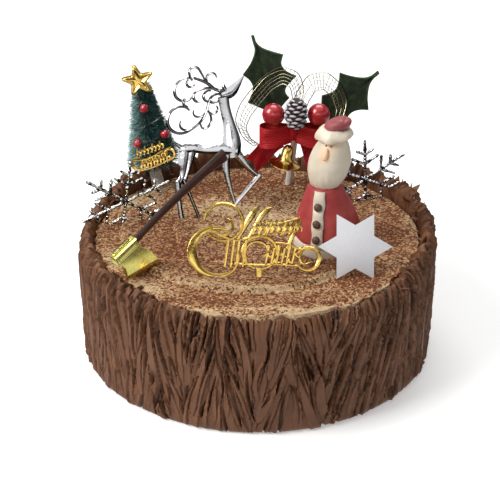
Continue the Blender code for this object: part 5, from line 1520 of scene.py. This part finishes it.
def net(name, path, at):
    """Open net of fine gold thread: selvedges and long threads, tied by cross threads."""
    curve = np.array(path, float)
    share = np.linspace(0, 1, len(curve))
    fine = np.linspace(0, 1, NET_STEPS)
    x, z = (np.interp(fine, share, curve[:, k]) for k in (0, 1))
    for _ in range(6):
        x[1:-1] = (x[:-2] + 2 * x[1:-1] + x[2:]) / 4
        z[1:-1] = (z[:-2] + 2 * z[1:-1] + z[2:]) / 4
    rng = random.Random(name)
    depths = [NET_FRONT + NET_DEPTH * i / (NET_STRANDS - 1) for i in range(NET_STRANDS)]
    sway = [rng.uniform(0, 6.28) for _ in depths]
    dx, dz = np.gradient(x), np.gradient(z)
    size = np.hypot(dx, dz)
    side_x, side_z = -dz / size, dx / size
    half = NET_STEPS // 2
    if (side_x[half] * x[half] + side_z[half] * (z[half] - 34)) < 0:
        side_x, side_z = -side_x, -side_z
    strands = []
    for number, (y, s) in enumerate(zip(depths, sway)):
        out = 1.05 * number - 1.8 + 0.30 * np.sin(13 * fine + s)
        strands.append([
            (a + p * o, y + 0.35 * math.sin(9 * t + s), b + q * o)
            for a, b, t, p, q, o in zip(x, z, fine, side_x, side_z, out)
        ])
    rungs = [[strand[i] for strand in strands] for i in range(1, NET_STEPS, 3)]
    fine_net = wires(name, strands[1:-1] + rungs, 0.12)
    selvedge = wires(name + "_selvedge", [strands[0], strands[-1]], 0.22)
    node = "net_ribbon_" + name.split("_")[-1]
    settle(together(name, [fine_net, selvedge]), "gold_net", [node], at, 60)


def holly_pick():
    at = stand(HOLLY_AT)
    stick = lathe("stick", rounded([(1.3, -4.0), (1.6, -3.0), (1.75, 8.0), (1.6, 23.0), (1.2, 24.0)]), 24)
    points = points_of(stick)
    points[:, 0] += 0.6 - 3.2 * (24.0 - points[:, 2]) / 28.0
    points[:, 1] += 2.2
    put_points(stick, points)
    settle(ruffle(stick, 0.1, 3.0, 1.0), "white_plastic", ["holly_stick"], at)
    refinish("holly_stem", "green_wire")
    holly_leaf("left", (-8.6, 33.6), (-19.6, 71.6), 9.8, 0.5, at)
    holly_leaf("right", (13.6, 30.6), (39.8, 53.8), 9.8, 0.5, at)
    for name, x in (("left", -9.9), ("right", 11.3)):
        profile = [(5.3 * math.cos(t), 5.3 * math.sin(t)) for t in np.linspace(-1.57, 1.30, 18)]
        ball = lathe("berry_" + name, profile + [(0.9, 4.9), (0.0, 4.7)], 40)
        settle(ruffle(ball, 0.12, 5.0, x), "red_gloss", ["holly_berry_" + name],
               at @ Matrix.Translation((x, -5.6, 38.6)))
    pine_cone(at)
    bow(at)
    bell(at)
    for name, path in NETS:
        net(name, path, at)


# Snowflake picks

FLAKE_ARM = 21.6
FLAKE_STAKE = 14.8


def snowflake(name, hub, turn, roll):
    at = stand(hub, hub[2], turn, -10.0, roll)
    rng = random.Random(name)
    pieces = []

    def twig(start, angle, long, thick):
        """A twig knobbed along its length as if sugared."""
        steps = max(5, int(long * 1.6))
        path = [
            (start[0] + long * t * math.cos(angle), start[1] + long * t * math.sin(angle))
            for t in np.linspace(0, 1, steps)
        ]
        widths = [thick * rng.uniform(0.72, 1.25) for _ in path]
        widths[-1] *= 0.7
        pieces.append(bar(path, widths, thick, ROUND, 2))

    for arm in range(6):
        angle = math.radians(90 - 60 * arm)
        lowest = arm == 3
        twig((0.0, 0.0), angle, FLAKE_STAKE if lowest else FLAKE_ARM, 0.80)
        for share, long in ((0.40, 7.6),) if lowest else ((0.40, 7.6), (0.64, 4.8)):
            root = (FLAKE_ARM * share * math.cos(angle), FLAKE_ARM * share * math.sin(angle))
            for side in (-1, 1):
                twig(root, angle + side * math.radians(58), long, 0.70)
    settle(together(name + "_twigs", pieces), "sugared_chrome", [name], at, 50)


# Gold plaque and star card


def plaque():
    at = stand(PLAQUE_AT, lean=10.0) @ Matrix.Translation((0, 0, 1.2))
    ring = (0.55, 0.95, 0.55)
    strokes = [
        (arc((-16.6, 9.4), 10.6, 68, 312, 11), (0.6, 2.1, 0.5)),
        (arc((-16.6, 9.4), 10.6, 306, 372, 4, 8.4), (0.5, 0.5)),
        (arc((-14.0, 22.4), 8.0, -150, 175, 12), (0.6, 0.8, 0.6)),
        (arc((-13.6, 21.6), 6.0, -185, 60, 7, 2.6), (0.5, 0.8, 0.4)),
        ([(-22.8, 17.4), (-19.0, 18.6), (-14.0, 16.2), (-8.0, 14.2)], (0.5, 1.0, 0.5)),
        ([(-8.6, 14.0), (-1.6, 26.2), (0.6, 29.0)], (0.6, 1.3, 0.6)),
        ([(-3.4, 15.6), (4.0, 27.4), (6.2, 28.6)], (0.5, 1.1, 0.5)),
        ([(-9.2, 14.4), (6.0, 17.6), (16.6, 18.6)], (0.45, 0.45)),
        ([(-0.8, 22.4), (9.0, 22.0), (16.9, 24.0)], (0.4, 0.45)),
        ([(17.8, 24.6), (15.6, 18.0), (12.2, 10.6)], (0.4, 0.9, 0.5)),
        (arc((1.2, 9.2), 7.2, -94, 254, 13), ring),
        (arc((1.2, 9.2), 6.8, 215, -40, 8, 2.4), (0.5, 0.7, 0.3)),
        ([(-9.4, 4.4), (1.0, 3.8), (9.0, 4.0), (17.6, 3.4)], (0.4, 0.45)),
        (arc((21.2, 6.4), 5.0, 150, -150, 10), ring),
        (arc((21.2, 6.4), 4.8, 60, 300, 6, 1.8), (0.4, 0.6, 0.3)),
        ([(6.4, 13.6), (12.0, 13.0), (18.2, 10.4)], (0.4, 0.45)),
        ([(1.0, 2.6), (1.0, -3.4)], (1.2, 1.1)),
    ]
    for number, x in enumerate(np.arange(-0.6, 17.0, 2.5)):
        strokes.append(([(x - 1.2, 17.2), (x + 0.2, 20.4), (x + 1.4, 23.4)], (0.4, 0.8, 0.4)))
        strokes.append((arc((x + 0.3, 19.2), 1.5, -70 + 40 * (number % 2), 200, 5), (0.3, 0.6, 0.3)))
    for number, x in enumerate(np.arange(6.4, 20.0, 2.9)):
        strokes.append((arc((x, 8.8 - 2.6 * (number % 2)), 2.2, 40, 300, 7, 1.5), (0.35, 0.7, 0.35)))
    for x in (-12.6, -10.2, -8.0, -5.2, 13.0):
        strokes.append(([(x - 0.8, 3.0), (x + 0.8, 15.0 if x < 0 else 13.4)], (0.5, 0.8)))
    for number, x in enumerate(np.arange(4.4, 17.6, 2.2)):
        strokes.append(([(x - 0.7, 4.4), (x + 0.7, 12.4 - 1.2 * (number % 2))], (0.5, 0.75)))
    for x in (5.0, 11.0):
        strokes.append(([(x - 1.2, 16.6), (x + 1.2, 22.6)], (0.5, 0.7)))
    settle(strokes_piece("plaque_scrolls", strokes, 0.75, CHAMFERED, 6), "gold", ["gold_scroll"], at, 22)


CARD_REACH, CARD_THICK = 15.7, 0.95


def star_card():
    at = stand(STAR_AT, lean=25.0)
    clear_choice()
    bpy.ops.mesh.primitive_circle_add(vertices=12, radius=CARD_REACH, fill_type="NGON")
    obj = chosen("star")
    points = points_of(obj)
    points[::2] /= math.sqrt(3)
    put_points(obj, points)
    edit(obj, lambda: bpy.ops.mesh.extrude_region_move(TRANSFORM_OT_translate={"value": (0, 0, CARD_THICK)}))
    close_seams(obj)
    apply(obj, "BEVEL", width=0.12, segments=2, limit_method="ANGLE")
    spot = Matrix.Translation((0, CARD_THICK / 2, 0)) @ Matrix.Rotation(math.radians(90), 4, "X")
    settle(obj, "white_card", ["star_card"], at @ Matrix.Translation((0, 0, 12.9)) @ spot, 30)


# Stage, light and camera

CAMERA_DROP = 27.5             # degrees that the camera looks down
CAMERA_AWAY = 0.585
CAMERA_TARGET = Vector((-0.0032, 0.0, 0.0450))
CAMERA_LENS, CAMERA_SENSOR = 93.0, 36.0

# Brightness of the sky by height, for what it lights and for what mirrors it
LIT_SKY = ((0.0, 0.10), (0.30, 0.06), (0.62, 0.22), (0.9, 0.85))
MIRRORED_SKY = ((0.0, 0.03), (0.10, 0.03), (0.20, 0.72), (0.46, 0.85), (0.54, 0.07), (0.70, 0.08), (0.86, 0.95))


def stage():
    clear_choice()
    bpy.ops.mesh.primitive_plane_add(size=8.0, location=(0, 0, -0.0005))
    floor = chosen("floor")
    floor.data.transform(Matrix.Translation(floor.location))
    floor.location = (0, 0, 0)
    look = Look("pale_floor", (0.88, 0.88, 0.88), 0.6, Emission_Color=(1.0, 1.0, 1.0), Emission_Strength=0.32)
    look.set(Base_Color=look.blend(look.cloud(400.0), (0.87, 0.87, 0.865), (0.885, 0.885, 0.88)))
    spread = look.node("VectorMath", {"operation": "LENGTH"}, look.place(), output=1)
    seen = look.blend(spread.between(150.0, 330.0), (0.80, 0.80, 0.81), (0.045, 0.045, 0.05))
    mirrored = look.node("Emission", None, seen)
    glossy_ray = look.node("LightPath", output="Is Glossy Ray")
    shown = look.node("MixShader", None, glossy_ray, Wire(look, look.shader.outputs[0]), mirrored)
    look.links.new(shown.socket, look.nodes["Material Output"].inputs["Surface"])
    floor.data.materials.append(look.material)

    def lamp(name, size, power, place, target=(0, 0, 0.03), colour=(1, 1, 1)):
        clear_choice()
        bpy.ops.object.light_add(type="AREA", location=place)
        made = bpy.context.active_object
        made.name = name
        made.data.shape = "RECTANGLE"
        made.data.size, made.data.size_y = size
        made.data.energy = power
        made.data.color = colour
        made.rotation_euler = (Vector(target) - Vector(place)).to_track_quat("-Z", "Y").to_euler()

    lamp("key_light", (0.55, 0.55), 11.5, (-0.75, -0.30, 0.80), colour=(1.0, 0.985, 0.96))
    lamp("top_light", (0.7, 0.5), 5.5, (0.05, 0.45, 1.0))
    lamp("front_fill", (0.9, 0.35), 1.6, (-0.15, -1.3, 0.8))

    world = bpy.data.worlds.new("studio")
    bpy.context.scene.world = world
    world.use_nodes = True
    nodes, links = world.node_tree.nodes, world.node_tree.links
    spot = nodes.new("ShaderNodeTexCoord")
    split = nodes.new("ShaderNodeSeparateXYZ")
    links.new(spot.outputs["Generated"], split.inputs[0])

    def sky(back, strength, stops):
        ramp = nodes.new("ShaderNodeValToRGB")
        links.new(split.outputs["Z"], ramp.inputs[0])
        links.new(ramp.outputs[0], back.inputs["Color"])
        back.inputs["Strength"].default_value = strength
        marks = ramp.color_ramp.elements
        marks[0].position, marks[0].color = stops[0][0], (*[stops[0][1]] * 3, 1)
        marks[1].position, marks[1].color = stops[-1][0], (*[stops[-1][1]] * 3, 1)
        for place, value in stops[1:-1]:
            marks.new(place).color = (value, value, value, 1)
        return back

    lit = sky(nodes["Background"], 0.7, LIT_SKY)
    mirrored = sky(nodes.new("ShaderNodeBackground"), 1.0, MIRRORED_SKY)
    path, mix = nodes.new("ShaderNodeLightPath"), nodes.new("ShaderNodeMixShader")
    links.new(path.outputs["Is Glossy Ray"], mix.inputs[0])
    links.new(lit.outputs[0], mix.inputs[1])
    links.new(mirrored.outputs[0], mix.inputs[2])
    links.new(mix.outputs[0], nodes["World Output"].inputs["Surface"])

    view = bpy.context.scene.view_settings
    view.view_transform = "Standard"
    view.look = "None"

    drop = math.radians(CAMERA_DROP)
    clear_choice()
    back_off = Vector((0.0, -math.cos(drop), math.sin(drop)))
    bpy.ops.object.camera_add(location=CAMERA_TARGET + back_off * CAMERA_AWAY)
    camera = bpy.context.active_object
    camera.name = "camera"
    camera.rotation_euler = (-back_off).to_track_quat("-Z", "Y").to_euler()
    camera.data.lens = CAMERA_LENS
    camera.data.sensor_width = CAMERA_SENSOR
    camera.data.clip_start = 0.01
    bpy.context.scene.camera = camera


def main():
    stage()
    bark()
    shards()
    cream_top()
    crumbs()
    santa()
    tree()
    reindeer()
    axe()
    holly_pick()
    snowflake("snowflake_left", FLAKE_LEFT_HUB, 14.5, 6.5)
    snowflake("snowflake_right", FLAKE_RIGHT_HUB, 11.0, -5.7)
    plaque()
    star_card()


main()
